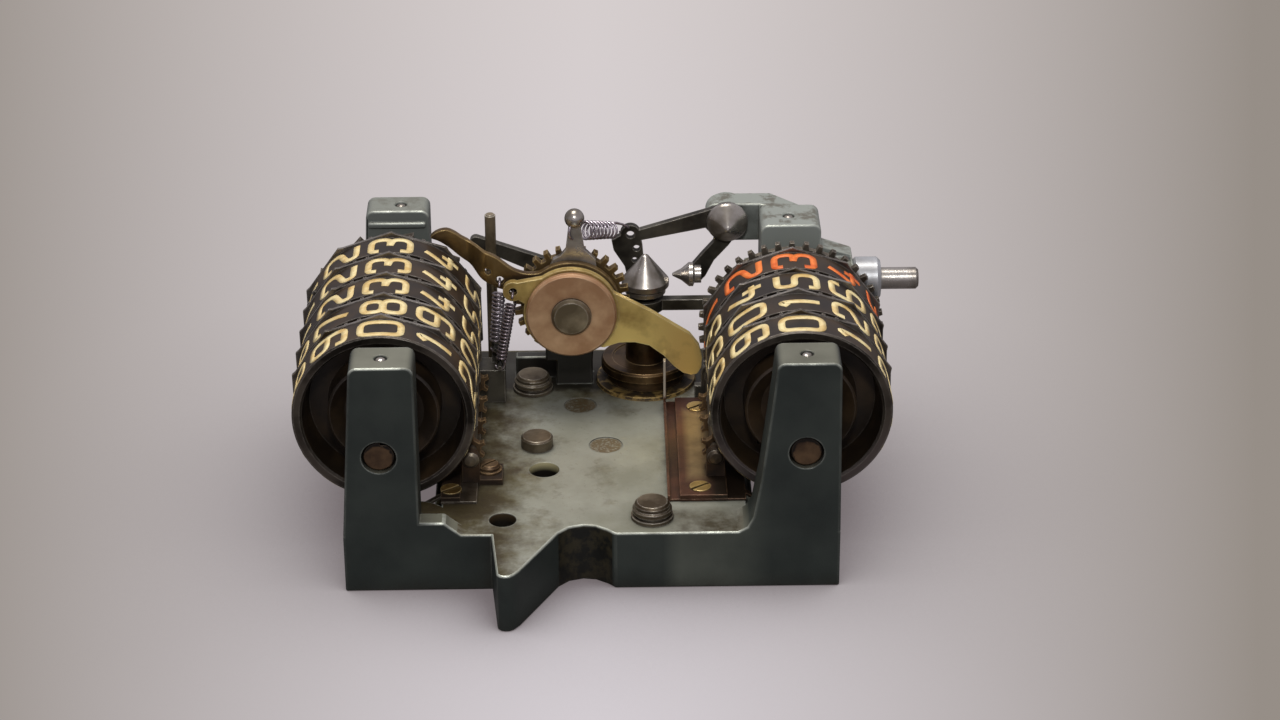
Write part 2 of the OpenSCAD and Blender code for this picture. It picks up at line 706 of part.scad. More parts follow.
// Pair of lugs at the front edge of a wheel, that step the next wheel's pinion
module drive_lugs(x, y, phase) {
    translate([x, 0, axle_h]) rotate([0, phase, 0]) plate(y, 0.4) difference() {
        union() {
            for (a = [-4.5, 4.5]) rotate(a) block2([band_r - 0.6, -0.3], [band_r + lug_h, 0.3]);
        }
        circle(band_r - rim_t);
    }
}

module saw_ring(n, root, tip, phase) {
    difference() {
        polygon(saw_points(n, root, tip, phase));
        circle(band_r - rim_t);
    }
}

module left_wheel(i) {
    number_wheel(LEFT, i);
}

module right_wheel(i) {
    number_wheel(RIGHT, i);
}

// Ten-tooth feed ratchet behind the left bank
module left_feed_ratchet() {
    color("dimgray") translate([-axle_x, 0, axle_h]) plate(ratchet_y, ratchet_t) difference() {
        polygon(saw_points(10, band_r - 1.4, band_r, 76));
        circle(axle_r + running_fit);
    }
}

// Toothed ring behind the right bank, that the front lever locks
module right_lock_ring() {
    color("dimgray") translate([axle_x, 0, axle_h]) plate(lock_ring_y, lock_ring_t) difference() {
        polygon(tooth_points(ring_teeth, band_r - 0.1, saw_tip_r, 0.5, 0.3, 0));
        circle(axle_r + running_fit);
    }
}

// Gear driven by the worm, with its hub
module drive_gear() {
    start = lock_ring_y + lock_ring_t;
    end = rear_right_post_y - body_gap;
    color("peru") translate([axle_x, 0, axle_h]) {
        plate(start, end - start) difference() {
            circle(drive_hub_r);
            circle(axle_r + running_fit);
        }
        plate(input_y - drive_gear_t / 2, drive_gear_t) difference() {
            polygon(tooth_points(drive_teeth, drive_pitch_r - 0.5, drive_pitch_r + 0.25, 0.4, 0.18,
                                 90 + 180 / drive_teeth));
            circle(axle_r + running_fit);
        }
    }
}

// ---------------------------------------------------------------- transfer pinions

function pinion_x(side) = side * (axle_x - pinion_dx);

module pinion(side, i) {
    y = bank_y + (i - 1) * wheel_pitch + gear_y + pinion_gap;
    color("goldenrod") translate([pinion_x(side), 0, pinion_z]) plate(y, pinion_len) difference() {
        polygon(tooth_points(pinion_teeth, pinion_tip_r - 0.65, pinion_tip_r, 0.42, 0.2,
                             pinion_direction(side) + 180));
        circle(pinion_shaft_r + running_fit);
    }
}

module left_pinion(i) {
    pinion(LEFT, i);
}

module right_pinion(i) {
    pinion(RIGHT, i);
}

module pinion_shaft(side, end) {
    bar_y(pinion_x(side), shaft_start_y + 0.5, pinion_z, pinion_shaft_r, end - shaft_start_y - 0.5);
    spun(pinion_x(side), shaft_start_y, pinion_z)
        polygon([[0, 0], [0.8, 0.1], [1.2, 0.4], [1.2, 0.5], [0, 0.5]]);
}

module pinion_shafts() {
    color("dimgray") {
        pinion_shaft(LEFT, left_shaft_end);
        pinion_shaft(RIGHT, right_shaft_end);
    }
}

bracket_t = 1.2;
bracket_core_r = 0.8;

// Ring round a pinion shaft on a stem that stands on z = low
module shaft_eye(side, y, t, low, half = 1.3) {
    x = pinion_x(side);
    difference() {
        union() {
            bar_y(x, y, pinion_z, half, t);
            block([x - half, y, low], [x + half, y + t, pinion_z]);
        }
        bar_y(x, y - 1, pinion_z, pinion_shaft_r + seat_fit, t + 2);
    }
}

module left_front_bracket() {
    x = pinion_x(LEFT);
    low = floor_h + leaf_t + 0.05;
    color("saddlebrown") difference() {
        union() {
            shaft_eye(LEFT, shaft_start_y + 0.55, bracket_t, low, 1.25);
            // Bridge over the leaf between the eye's stem and the foot
            block([x, shaft_start_y + 0.55, low],
                  [leaf_margin_left + 0.2, shaft_start_y + 0.55 + bracket_t, floor_h + 0.8]);
            block([leaf_margin_left + 0.1, shaft_start_y + 0.55, floor_h],
                  [bracket_screw_at[0] + 1.9, bracket_screw_at[1] + 1.9, floor_h + 0.8]);
        }
        translate([bracket_screw_at[0], bracket_screw_at[1], 0])
            cylinder(r = bracket_core_r + seat_fit, h = floor_h + 2);
    }
}

// Rear left bracket: holds the pinion shaft and the lower ends of two springs
module left_rear_bracket() {
    top = floor_h + 5.3;
    x_in = front_peg_x + 0.7;
    end = bank_y + 4 * wheel_pitch + band_w - 0.3;
    color("dimgray") difference() {
        union() {
            block([pinion_x(LEFT) - 0.95, bracket_y, floor_h], [x_in, end, top]);
            block([front_peg_x - 0.6, front_spring_y + 1.1, top - eps],
                  [front_peg_x + 0.6, front_spring_y + 1.7, front_peg_z + 0.5]);
            bar_y(front_peg_x, front_spring_y - 0.9, front_peg_z, peg_r, 2.2);
            block([rear_peg_x - 0.6, rear_spring_y + 1.1, top - eps],
                  [rear_peg_x + 0.6, end, rear_peg_z + 0.5]);
            bar_y(rear_peg_x, rear_spring_y - 0.9, rear_peg_z, peg_r, 2.2);
        }
        bar_y(pinion_x(LEFT), bracket_y - 1, pinion_z, pinion_shaft_r + seat_fit, end - bracket_y + 2);
    }
}

module right_front_bracket() {
    low = bar_top;
    color("saddlebrown") {
        shaft_eye(RIGHT, shaft_start_y + 0.55, bracket_t, low);
        block([pinion_x(RIGHT) - 1.3, shaft_start_y + 0.55 + bracket_t - eps, low],
              [pinion_x(RIGHT) + 0.5, shaft_start_y + 3.6, low + 0.6]);
    }
}

module right_rear_bracket() {
    color("dimgray") {
        shaft_eye(RIGHT, right_eye_y, bracket_t, floor_h, 1.25);
        block([pinion_x(RIGHT) - 2.2, right_eye_y, floor_h],
              [pinion_x(RIGHT) - 1.2, right_eye_y + bracket_t, floor_h + 2]);
    }
}

// ---------------------------------------------------------------- detents and clamps

leaf_margin_left = -16.3;
left_bar_in = -18.6;
left_bar_out = -slot_in;
leaf_margin_right = 10.35;
right_bar_in = 12.05;
right_bar_out = 18.7;
leaf_front_y = bank_y - 2.7;
left_leaf_end = bank_y + 4 * wheel_pitch - 0.3;
right_leaf_end = bank_y + 4 * wheel_pitch - 0.35;
finger_z = axle_h - saw_tip_r - detent_gap - leaf_t;
finger_w = 1;

function clamp_screw_places() = [
    [right_bar_in + 2.9, bank_y - 0.3], [right_bar_in + 3.15, right_bank_end - 3],
    [(left_bar_in + left_bar_out) / 2, bank_y - 0.3], [(left_bar_in + left_bar_out) / 2, bank_y + 23.4]
];

// A spring finger that dips into the slot under one wheel
module finger(side, y) {
    edge = slot_in + 0.05;
    far = axle_x + 0.5;
    plate(y, finger_w)
        polygon([
            [side * (edge - 0.6), floor_h], [side * edge, floor_h], [side * (axle_x - 4.5), finger_z],
            [side * far, finger_z], [side * far, finger_z + leaf_t],
            [side * (axle_x - 4.35), finger_z + leaf_t], [side * (edge + 0.1), floor_h + leaf_t],
            [side * (edge - 0.6), floor_h + leaf_t]
        ]);
}

module detent_leaf(side, inner, count, end) {
    difference() {
        union() {
            block([min(inner, side * slot_in), leaf_front_y, floor_h],
                  [max(inner, side * slot_in), end, floor_h + leaf_t]);
            for (i = [1 : count])
                finger(side, bank_y + (i - 1) * wheel_pitch + saw_y + saw_w / 2 - finger_w / 2);
            finger(side, bank_y - 1.2);
            // Narrow tongue that carries the finger of the fifth wheel
            if (count > 4)
                block([-slot_in, end - eps, floor_h],
                      [left_bar_in, bank_y + 4 * wheel_pitch + saw_y + saw_w / 2 + finger_w / 2,
                       floor_h + leaf_t]);
        }
        for (p = clamp_screw_places())
            translate([p[0], p[1], 0]) cylinder(r = bracket_core_r + seat_fit, h = floor_h + 2);
    }
}

module left_detent_leaf() {
    color("darkgray") detent_leaf(LEFT, leaf_margin_left, left_count, left_leaf_end);
}

module right_detent_leaf() {
    color("darkgray") {
        detent_leaf(RIGHT, leaf_margin_right, right_count, right_leaf_end);
        // Upturned edge with a tall tab at its rear
        block([leaf_margin_right, leaf_front_y, floor_h],
              [leaf_margin_right + leaf_t, right_leaf_end, floor_h + 0.9]);
        block([leaf_margin_right, front_lever_y - 1.5, floor_h],
              [leaf_margin_right + leaf_t, front_lever_y - 0.5, floor_h + 7.6]);
    }
}

module clamp_bar(inner, outer, end) {
    difference() {
        block([min(inner, outer), leaf_front_y, floor_h + leaf_t], [max(inner, outer), end, bar_top]);
        for (p = clamp_screw_places()) clamp_screw_seat(p, seat_fit);
    }
}

module left_clamp_bar() {
    color("saddlebrown") clamp_bar(left_bar_in, left_bar_out, left_leaf_end);
}

module right_clamp_bar() {
    color("peru") clamp_bar(right_bar_in, right_bar_out, right_leaf_end);
}

// Flush head and shank of one clamp screw, grown by a clearance
module clamp_screw_seat(p, grow) {
    translate([p[0], p[1], bar_top - 0.4]) cylinder(r = min(clamp_head_r, 1.5) + grow, h = 1);
    translate([p[0], p[1], floor_under])
        cylinder(r = bracket_core_r + grow, h = bar_top - floor_under - 0.4 + eps);
}

module clamp_screws() {
    color("gold") for (p = clamp_screw_places()) difference() {
        union() {
            translate([p[0], p[1], bar_top - 0.38]) cylinder(r = min(clamp_head_r, 1.5), h = 0.5);
            translate([p[0], p[1], floor_under])
                cylinder(r = bracket_core_r, h = bar_top - floor_under - 0.3);
        }
        translate([p[0], p[1], bar_top - 0.13]) rotate([0, 0, 35]) cube([4, 0.4, 0.6], center = true);
    }
}

// ---------------------------------------------------------------- input shaft

input_journal_r = input_r + 0.25;
bush_spigot_r = input_journal_r + 0.35;

module input_shaft() {
    start = lug_in_x + 0.2;
    total = input_end_x - start;
    shoulder_x = boss_out_x + bush_len + 0.1;
    chamfer = 0.35;
    color("silver") translate([start, input_y, input_z]) rotate([0, 90, 0]) {
        cylinder(r = worm_root_r - 0.35, h = boss_in_x - start);
        cylinder(r = input_journal_r, h = 2.3);
        translate([0, 0, boss_in_x - start - 1])
            cylinder(r = input_journal_r, h = shoulder_x - boss_in_x + 1);
        translate([0, 0, shoulder_x - start - eps])
            cylinder(r = input_r, h = input_end_x - shoulder_x - chamfer + eps);
        translate([0, 0, total - chamfer - eps])
            cylinder(r1 = input_r, r2 = input_r - chamfer, h = chamfer + eps);
    }
}

// Single-start worm: a right-hand thread on a sleeve
module input_worm() {
    turns = 3.5;
    steps = 20;
    count = floor(turns * steps);
    half_tip = worm_lead * 0.1;
    half_root = worm_lead * 0.2;
    // The thread's middle lies over the drive gear at the foot of a turn
    start = axle_x - worm_lead * 1.75;
    section = [[-half_root, worm_root_r - 0.15], [-half_tip, worm_tip_r],
               [half_tip, worm_tip_r], [half_root, worm_root_r - 0.15]];
    points = [
        for (i = [0 : count]) for (s = section)
            let (a = i * 360 / steps)
                [start + worm_lead * i / steps + s[0], input_y + s[1] * cos(a), input_z + s[1] * sin(a)]
    ];
    walls = [
        for (i = [0 : count - 1]) for (k = [0 : 3])
            let (a = i * 4 + k, b = i * 4 + (k + 1) % 4)
                [a, b, b + 4, a + 4]
    ];
    color("goldenrod") union() {
        polyhedron(points = points, faces = concat(walls, [[3, 2, 1, 0],
                   [count * 4, count * 4 + 1, count * 4 + 2, count * 4 + 3]]), convexity = 8);
        difference() {
            bar_x(axle_x - worm_half, input_y, input_z, worm_root_r, 2 * worm_half);
            bar_x(axle_x - worm_half - 1, input_y, input_z, worm_root_r - 0.35 + seat_fit, 2 * worm_half + 2);
        }
    }
}

module shaft_bush() {
    bore = input_journal_r + running_fit;
    spigot = boss_out_x - boss_in_x - 0.3;
    color("gainsboro") translate([boss_out_x - spigot, input_y, input_z]) rotate([0, 90, 0])
        rotate_extrude()
            polygon([
                [bore, 0], [bush_spigot_r, 0], [bush_spigot_r, spigot], [bush_r - 0.4, spigot],
                [bush_r, spigot + 0.4], [bush_r, spigot + bush_len - 0.5],
                [bush_r - 0.5, spigot + bush_len], [bore, spigot + bush_len]
            ]);
}

// ---------------------------------------------------------------- lever stack

module central_axle() {
    color("gray") spun(pivot_x, stack_y, pivot_z)
        polygon([
            [0, 0], [journal_r - 0.45, 0], [journal_r, 0.45],
            [journal_r, pedestal_y - stack_y - axle_flange_t],
            [4, pedestal_y - stack_y - axle_flange_t], [4, pedestal_y - stack_y],
            [stem_r, pedestal_y - stack_y], [stem_r, clip_y + clip_t + 0.6 - stack_y],
            [0, clip_y + clip_t + 0.6 - stack_y]
        ]);
}

module ring_plate(y, t, outer, inner) {
    translate([pivot_x, 0, pivot_z]) plate(y, t) difference() {
        circle(outer);
        circle(inner);
    }
}

module bronze_washer() {
    color("peru") spun(pivot_x, washer_y, pivot_z)
        polygon([[journal_r + seat_fit, 0], [washer_r - 0.3, 0], [washer_r, 0.3],
                 [washer_r, washer_t], [journal_r + seat_fit, washer_t]]);
}

// Front lever: an eye for its spring at the left, a long arm to the lock ring at the right
module front_lever() {
    tip_angle = 24.1;
    tip = [axle_x - pivot_x - (saw_tip_r + lever_gap) * cos(tip_angle),
           -pivot_rise - (saw_tip_r + lever_gap) * sin(tip_angle)];
    reach = norm(tip);
    lean = atan2(tip[1], tip[0]);
    arm = [
        [0.7, 5.7], [10.5, 4.65], [17.3, 3.4], [19.3, 2.2], [20.5, 0.6], [21.0, -0.9], [20.9, -2.0],
        [20.2, -2.6], [18.9, -2.75], [17.3, -2.3], [15.8, -1.55], [15.2, -1.25], [12.55, -0.52],
        [10.4, -0.85], [8.3, -1.8], [6.6, -3.36], [4.6, -3.9], [4.2, 0], [2.6, 3.4]
    ];
    color("gold") translate([pivot_x, 0, pivot_z]) {
        plate(front_lever_y, lever_t) difference() {
            union() {
                circle(washer_r + 0.35);
                polygon([[-4, 5.6], [-8.3, 4.8], [-8.3, 2.6], [-6, 1]]);
                translate([eye_x - pivot_x, eye_z - pivot_z]) circle(eye_r + ear_w);
            }
            circle(journal_r + running_fit);
            translate([eye_x - pivot_x, eye_z - pivot_z]) circle(eye_r);
        }
        // The arm is a little thinner than the hub
        plate(front_lever_y + hub_step, lever_t - 2 * hub_step)
            polygon([for (p = arm) turned([p[0] * reach / 21.05, p[1]], lean)]);
    }
}

// Rear lever: cranked back so that its tip reaches the feed ratchet
module rear_lever() {
    outer_y = ratchet_y + 0.05;
    tip = [-axle_x + (band_r + lever_gap + 0.15) * cos(64) - pivot_x,
           (band_r + lever_gap + 0.15) * sin(64) - pivot_rise];
    rest_tip = [-20.21, 9.16];
    still_x = -10.9;
    // The bend sets the far end back, beside the last wheel
    bend = [[-14.1, 9.25], [-15.05, 9.4], [-15.05, 5.95], [-14.1, 5.45]];
    inner = [
        [-0.5, 7.1], [-3.6, 6], [-4.9, 5.6], [-6.2, 5.5], [-7.5, 5.8], [-8.7, 6.4], [-9.8, 7.2],
        [-10.9, 7.95], [-12.1, 8.6], [-13.3, 9.05], bend[0], bend[1], bend[2], bend[3],
        [-13.7, 5.05], [-13.2, 4.65], [-12.2, 4.25], [-11.4, 3.85], [-10.8, 3.4], [-8.2, 2.6],
        [-6.5, 0.5]
    ];
    outer = [
        bend[0], bend[1], [-15.9, 9.6], [-16.9, 10], [-17.9, 10.4], [-18.8, 10.42],
        [-19.6, 10.15], rest_tip + [-0.3, 0.35], rest_tip, [-19.4, 8.75], [-18.5, 8.2],
        [-17.5, 7.5], [-16.5, 6.6], [-15.4, 6.05], bend[3]
    ];
    // Drawn for the usual wheels, and carried along with the tip for others
    function carried(points) = [
        for (p = points) let (share = max(0, (p[0] - still_x) / (rest_tip[0] - still_x)))
            p + share * (tip - rest_tip)
    ];
    color("darkgoldenrod") translate([pivot_x, 0, pivot_z]) {
        plate(rear_lever_y, lever_t) difference() {
            union() {
                circle(washer_r + 0.6);
                polygon(carried(inner));
            }
            circle(journal_r + running_fit);
            translate([rear_eye_x - pivot_x, rear_eye_z - pivot_z]) circle(eye_r);
            translate([-12.05, 5.95]) circle(0.5);
        }
        plate(rear_lever_y, outer_y - rear_lever_y + 0.9) polygon(carried(bend));
        plate(outer_y, 0.9) polygon(carried(outer));
    }
}

// Arm with a ball on top, that the link spring pulls
module ball_arm() {
    lean = ball_lean;
    color("silver") translate([pivot_x, 0, pivot_z]) {
        plate(ball_arm_y, ball_arm_t) difference() {
            union() {
                circle(5.4);
                polygon([[-3.9, 3.5], [-2.6, 7.2], [-1.5, 7.8], [-0.7, 8.8], [lean - 0.85, ball_rise - 1],
                         [lean + 0.85, ball_rise - 1], [2.0, 8.8], [3.0, 7.8], [3.6, 7.2], [3.9, 3.5]]);
            }
            circle(journal_r + running_fit);
        }
        translate([lean, ball_arm_y + ball_arm_t / 2, ball_rise]) sphere(ball_r, $fn = 48);
    }
}

module toothed_wheel() {
    color("darkgoldenrod") translate([pivot_x, 0, pivot_z]) plate(toothed_y, toothed_t) difference() {
        polygon(tooth_points(28, toothed_r - 1.1, toothed_r, 0.52, 0.34, 0));
        circle(journal_r + running_fit);
    }
}

// Dark arm on the rear of the central axle
module rear_arm() {
    color("dimgray") translate([pivot_x, 0, pivot_z]) plate(rear_arm_y, rear_arm_t) difference() {
        union() {
            circle(4);
            polygon([[-2.23, 2.45], [-13.77, 6.68], [-14.43, 5.12], [-3.31, -0.13]]);
            translate([-14.1, 5.9]) circle(0.85);
        }
        circle(stem_r + running_fit);
    }
}

module axle_clip() {
    color("silver") ring_plate(clip_y, clip_t, stem_r + 1.3, stem_r + seat_fit);
}

// ---------------------------------------------------------------- springs

module front_spring() {
    color("silver") wire(lever_spring_path([front_peg_x, front_spring_y, front_peg_z],
                                           [eye_x, front_spring_y, eye_z], front_coil_r, 16),
                         wire_r, [0, 1, 0]);
}

module rear_spring() {
    color("silver") wire(lever_spring_path([rear_peg_x, rear_spring_y, rear_peg_z],
                                           [rear_eye_x, rear_spring_y, rear_eye_z], rear_coil_r, 12),
                         wire_r, [0, 1, 0]);
}

// The link spring hangs from the neck under the ball and hooks through the bell-crank
neck_loop_r = 1.3;
link_left = [pivot_x + ball_lean, ball_arm_y + ball_arm_t / 2, pivot_z + ball_rise - 1.9];
link_right = [crank_x - 14.3, crank_y + crank_t / 2, crank_z - 2.1];

module link_spring() {
    flat = unit([link_right[0] - link_left[0], link_right[1] - link_left[1], 0]);
    radial = unit([link_right[0] - link_left[0], 0, link_right[2] - link_left[2]]);
    axis = unit(link_right - link_left);
    hold = link_right - eye_band * radial;
    path = concat(
        loop_path(link_left, flat, cross([0, 0, 1], flat), neck_loop_r, 200, 15, 10),
        coil_path(link_left + axis * (neck_loop_r + 1.2), hold - axis * (eye_loop_r + 2.3),
                  link_coil_r, 8, 12),
        loop_path(hold, radial, [0, 1, 0], eye_loop_r, 200, 480, 11)
    );
    color("silver") wire(path, wire_r, [0, 0, 1]);
}

// ---------------------------------------------------------------- bell-crank

module bell_crank() {
    color("dimgray") translate([crank_x, 0, crank_z]) plate(crank_y, crank_t) difference() {
        union() {
            circle(2.6);
            polygon([
                [-1, 2.3], [-3.2, 1.6], [-12.9, -1.35], [-14.3, -1.3], [-17.1, -3], [-16.8, -4.6],
                [-15.2, -7.2], [-14.4, -11], [-12.2, -11], [-12.3, -7], [-12.5, -4.2],
                [-12.7, -3.0], [-3.2, -1.1], [-2.4, -2]
            ]);
            polygon([[-1.9, -1.7], [-2.0, -3.4], [-3.9, -5.6], [-5.7, -7.9], [-5.5, -9.4], [-4.2, -10.1],
                     [-3.2, -9], [-1.9, -6.4], [0.2, -4], [1.6, -2]]);
            translate([-14.3, -2.1]) circle(eye_r + ear_w);
        }
        circle(crank_screw_r + running_fit);
        translate([-14.3, -2.1]) circle(eye_r);
        translate([-13.4, -4.3]) circle(0.5);
        translate([-13.7, -6.2]) circle(0.4);
    }
}

// Cone-headed screw that the bell-crank turns on
module pivot_screw() {
    head_y = crank_y - 0.15;
    color("gainsboro") spun(crank_x, head_y, crank_z)
        polygon([
            [0, -3.3], [0.5, -3.1], [crank_head_r - 0.2, -0.8], [crank_head_r, -0.5], [crank_head_r, 0],
            [crank_screw_r, 0], [crank_screw_r, rear_y - head_y - 0.3], [0, rear_y - head_y - 0.3]
        ]);
}

// Small cone-pointed screw in the lower arm of the bell-crank
module cone_screw() {
    x = crank_x - 4.9;
    z = crank_z - 7.6;
    y = crank_y - 2.2;
    color("gainsboro") union() {
        translate([x, y, z]) rotate([0, -90, 0]) rotate_extrude()
            polygon([
                [0, -1], [1.3, -1], [1.3, 0], [1.8, 0.2], [1.8, 0.8], [0.9, 1.9], [0.25, 3.2], [0, 3.3]
            ]);
        block([x, y - 0.5, z - 0.5], [x + 1, crank_y - 0.02, z + 0.5]);
    }
}

// ---------------------------------------------------------------- spindle

disc_z = floor_h + 0.65;
spindle_top = axle_h + 6.35;

module spindle() {
    color("gray") translate([spindle_x, spindle_y, 1.5]) cylinder(r = spindle_r, h = spindle_top - 1.5);
}

module turned_spindle(z) {
    translate([spindle_x, spindle_y, z]) rotate_extrude() children();
}

module seat_ring() {
    color("gold") turned_spindle(floor_h)
        polygon([[4.6, 0], [seat_ring_r, 0], [seat_ring_r - 0.2, 0.5], [4.6, 0.5]]);
}

module spindle_disc() {
    inner = spindle_r + seat_fit;
    color("peru") turned_spindle(disc_z)
        polygon([
            [inner, 0], [disc_r - 0.9, 0], [disc_r - 0.9, 1.6], [disc_r, 1.75], [disc_r, 2.9],
            [disc_r - 0.3, 3.2], [5, 3.2], [4.8, 3.0], [3, 3.0], [3, 6.8], [inner, 6.8]
        ]);
}

module cone_nut() {
    inner = spindle_r + seat_fit;
    base = axle_h + 2.2;
    depth = spindle_top - base + 0.05;
    color("gainsboro") turned_spindle(base)
        polygon([
            [inner, 0], [2.9, 0], [3, 0.1], [3, 0.75], [2.6, 0.95], [2.6, 1.1], [cone_r, 1.2],
            [cone_r, 2.0], [cone_r - 0.15, 2.2], [0.5, 5.9], [0, 6.1], [0, depth], [inner, depth]
        ]);
}

module spindle_arm() {
    z = axle_h - 0.4;
    color("dimgray") difference() {
        union() {
            translate([spindle_x, spindle_y, z]) cylinder(r = 2.7, h = 1.8);
            block([spindle_x, spindle_y - 1.1, z], [axle_x - 8.2, spindle_y + 0.4, z + 1.7]);
        }
        translate([spindle_x, spindle_y, z - 1]) cylinder(r = spindle_r + seat_fit, h = 4);
    }
}

// ---------------------------------------------------------------- small parts on the floor

guide_pin_r = 0.8;

module guide_pin() {
    color("silver") translate([guide_pin_at[0], guide_pin_at[1], floor_under]) {
        cylinder(r = guide_pin_r, h = post_top - floor_under - 0.1);
        translate([0, 0, post_top - floor_under - 0.1 - eps]) cylinder(r = guide_pin_r - 0.2, h = 0.2);
    }
}

// Round-headed screws with a grooved collar and a washer
module frame_screws() {
    color("silver") for (p = floor_screw_places()) translate([p[0], p[1], floor_h]) {
        rotate_extrude()
            polygon([
                [0, -floor_t - 1], [screw_core_r, -floor_t - 1], [screw_core_r, 0], [2.95, 0], [2.95, 0.55],
                [2.4, 0.6], [2.4, 0.85], [2.75, 0.95], [2.75, 1.55], [2.5, 1.75], [2.45, 2.2],
                [2.1, 2.55], [0, 2.6]
            ]);
    }
}

module floor_stud() {
    color("silver") translate([stud_at[0], stud_at[1], floor_h]) rotate_extrude()
        polygon([
            [0, -floor_t], [screw_core_r, -floor_t], [screw_core_r, 0], [2.3, 0],
            [2.3, 1.45], [2.05, 1.7], [0, 1.7]
        ]);
}

module bracket_screw() {
    color("peru") translate([bracket_screw_at[0], bracket_screw_at[1], floor_h + 0.8]) difference() {
        rotate_extrude()
            polygon([
                [0, -floor_t], [bracket_core_r, -floor_t], [bracket_core_r, 0], [1.75, 0], [1.75, 0.3],
                [1.5, 0.35], [1.5, 0.8], [1.2, 1.15], [0, 1.25]
            ]);
        translate([0, 0, 1.15]) rotate([0, 0, 40]) cube([4, 0.35, 0.8], center = true);
    }
}

// ---------------------------------------------------------------- nodes

frame_casting();
left_axle();
right_axle();
axle_pins();
axle_collars();
left_wheel(1);  // left_wheel_1
left_wheel(2);  // left_wheel_2
left_wheel(3);  // left_wheel_3
left_wheel(4);  // left_wheel_4
left_wheel(5);  // left_wheel_5
right_wheel(1);  // right_wheel_1
right_wheel(2);  // right_wheel_2
right_wheel(3);  // right_wheel_3
right_wheel(4);  // right_wheel_4
left_feed_ratchet();
right_lock_ring();
drive_gear();
pinion_shafts();
left_pinion(1);  // left_pinion_1
left_pinion(2);  // left_pinion_2
left_pinion(3);  // left_pinion_3
left_pinion(4);  // left_pinion_4
right_pinion(1);  // right_pinion_1
right_pinion(2);  // right_pinion_2
right_pinion(3);  // right_pinion_3
left_front_bracket();
left_rear_bracket();
right_front_bracket();
right_rear_bracket();
left_detent_leaf();
right_detent_leaf();
left_clamp_bar();
right_clamp_bar();
clamp_screws();
input_shaft();
input_worm();
shaft_bush();
central_axle();
bronze_washer();
front_lever();
rear_lever();
ball_arm();
toothed_wheel();
rear_arm();
axle_clip();
front_spring();
rear_spring();
link_spring();
bell_crank();
pivot_screw();
cone_screw();
spindle();
spindle_disc();
seat_ring();
cone_nut();
spindle_arm();
guide_pin();
frame_screws();
floor_stud();
bracket_screw();
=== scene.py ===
# %% [markdown]
# # Dressing a mechanical counter
# They stay where they are, and this lesson gives them finishes and adds what is too fine for the
# solids: the numbers on the wheels, rounded casting edges and smooth spring wire. Everything is in
# metres, with +Z up; a length that is easier to read in millimetres is written so and multiplied by
# MM.

# %% Load the frame
import math
import bmesh
import bpy
from mathutils import Matrix, Vector


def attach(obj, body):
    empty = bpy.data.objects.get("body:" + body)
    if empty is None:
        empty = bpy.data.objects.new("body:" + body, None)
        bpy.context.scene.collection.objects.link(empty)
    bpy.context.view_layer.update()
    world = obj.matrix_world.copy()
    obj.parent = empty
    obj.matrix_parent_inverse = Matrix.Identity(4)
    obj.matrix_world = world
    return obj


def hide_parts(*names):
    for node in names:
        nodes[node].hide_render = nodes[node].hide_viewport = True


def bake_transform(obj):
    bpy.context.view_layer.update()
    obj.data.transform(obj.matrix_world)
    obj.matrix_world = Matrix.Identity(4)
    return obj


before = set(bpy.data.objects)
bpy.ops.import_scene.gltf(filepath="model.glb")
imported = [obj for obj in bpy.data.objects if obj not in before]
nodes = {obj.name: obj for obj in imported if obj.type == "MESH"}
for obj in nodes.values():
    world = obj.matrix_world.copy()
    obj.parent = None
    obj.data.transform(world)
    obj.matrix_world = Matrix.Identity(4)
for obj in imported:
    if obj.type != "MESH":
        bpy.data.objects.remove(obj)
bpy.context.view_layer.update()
MM = 0.001

# %% [markdown]
# The camera comes first, because every choice after it is judged through it. A long lens a good arm's
# length away, looking down at a little more than 27 degrees, shows both the wheel rims and the floor
# of the frame. The axes are worked out from the viewing direction, then tilted by a hair.

# %% Camera
def in_scene(thing):
    bpy.context.scene.collection.objects.link(thing)
    return thing


def look_from(place, turn, down, roll, lens):
    forward = Vector((math.sin(turn) * math.cos(down), math.cos(turn) * math.cos(down), -math.sin(down)))
    right = Vector((math.cos(turn), -math.sin(turn), 0))
    up = right.cross(forward)
    axis_x = math.cos(roll) * right + math.sin(roll) * up
    axis_y = -math.sin(roll) * right + math.cos(roll) * up
    data = bpy.data.cameras.new("camera")
    data.lens = lens
    data.sensor_width = 36
    data.clip_start = 0.01
    data.clip_end = 20
    camera = in_scene(bpy.data.objects.new("camera", data))
    camera.matrix_world = Matrix((
        (axis_x.x, axis_y.x, -forward.x, place[0] * MM),
        (axis_x.y, axis_y.y, -forward.y, place[1] * MM),
        (axis_x.z, axis_y.z, -forward.z, place[2] * MM),
        (0, 0, 0, 1)))
    bpy.context.scene.camera = camera
    return camera


camera = look_from((1.43, -411.92, 233.25), turn=0.0131, down=0.4756, roll=-0.0054, lens=91.03)
bpy.context.scene.view_settings.view_transform = "Standard"
print("camera at", [round(v, 3) for v in camera.location])

# %% [markdown]
# A small helper builds shader networks. `add` places a node and fills in its settings, and a value that
# is itself a socket is linked instead of copied, so a network reads almost like a formula. The helpers
# after it give the commonest nodes short names; `span` and `below` take their limits in millimetres.

# %% Shader helpers
def feed(socket, value):
    """Link a socket, or set it to a plain value."""
    if isinstance(value, bpy.types.NodeSocket):
        socket.id_data.links.new(value, socket)
    else:
        socket.default_value = value


def add(tree, kind, _out=0, _props=None, **inputs):
    node = tree.nodes.new(kind)
    for key, value in (_props or {}).items():
        setattr(node, key, value)
    for key, value in inputs.items():
        by_number = key[0] == "i" and key[1:].isdigit()
        feed(node.inputs[int(key[1:]) if by_number else key], value)
    return node.outputs[_out]


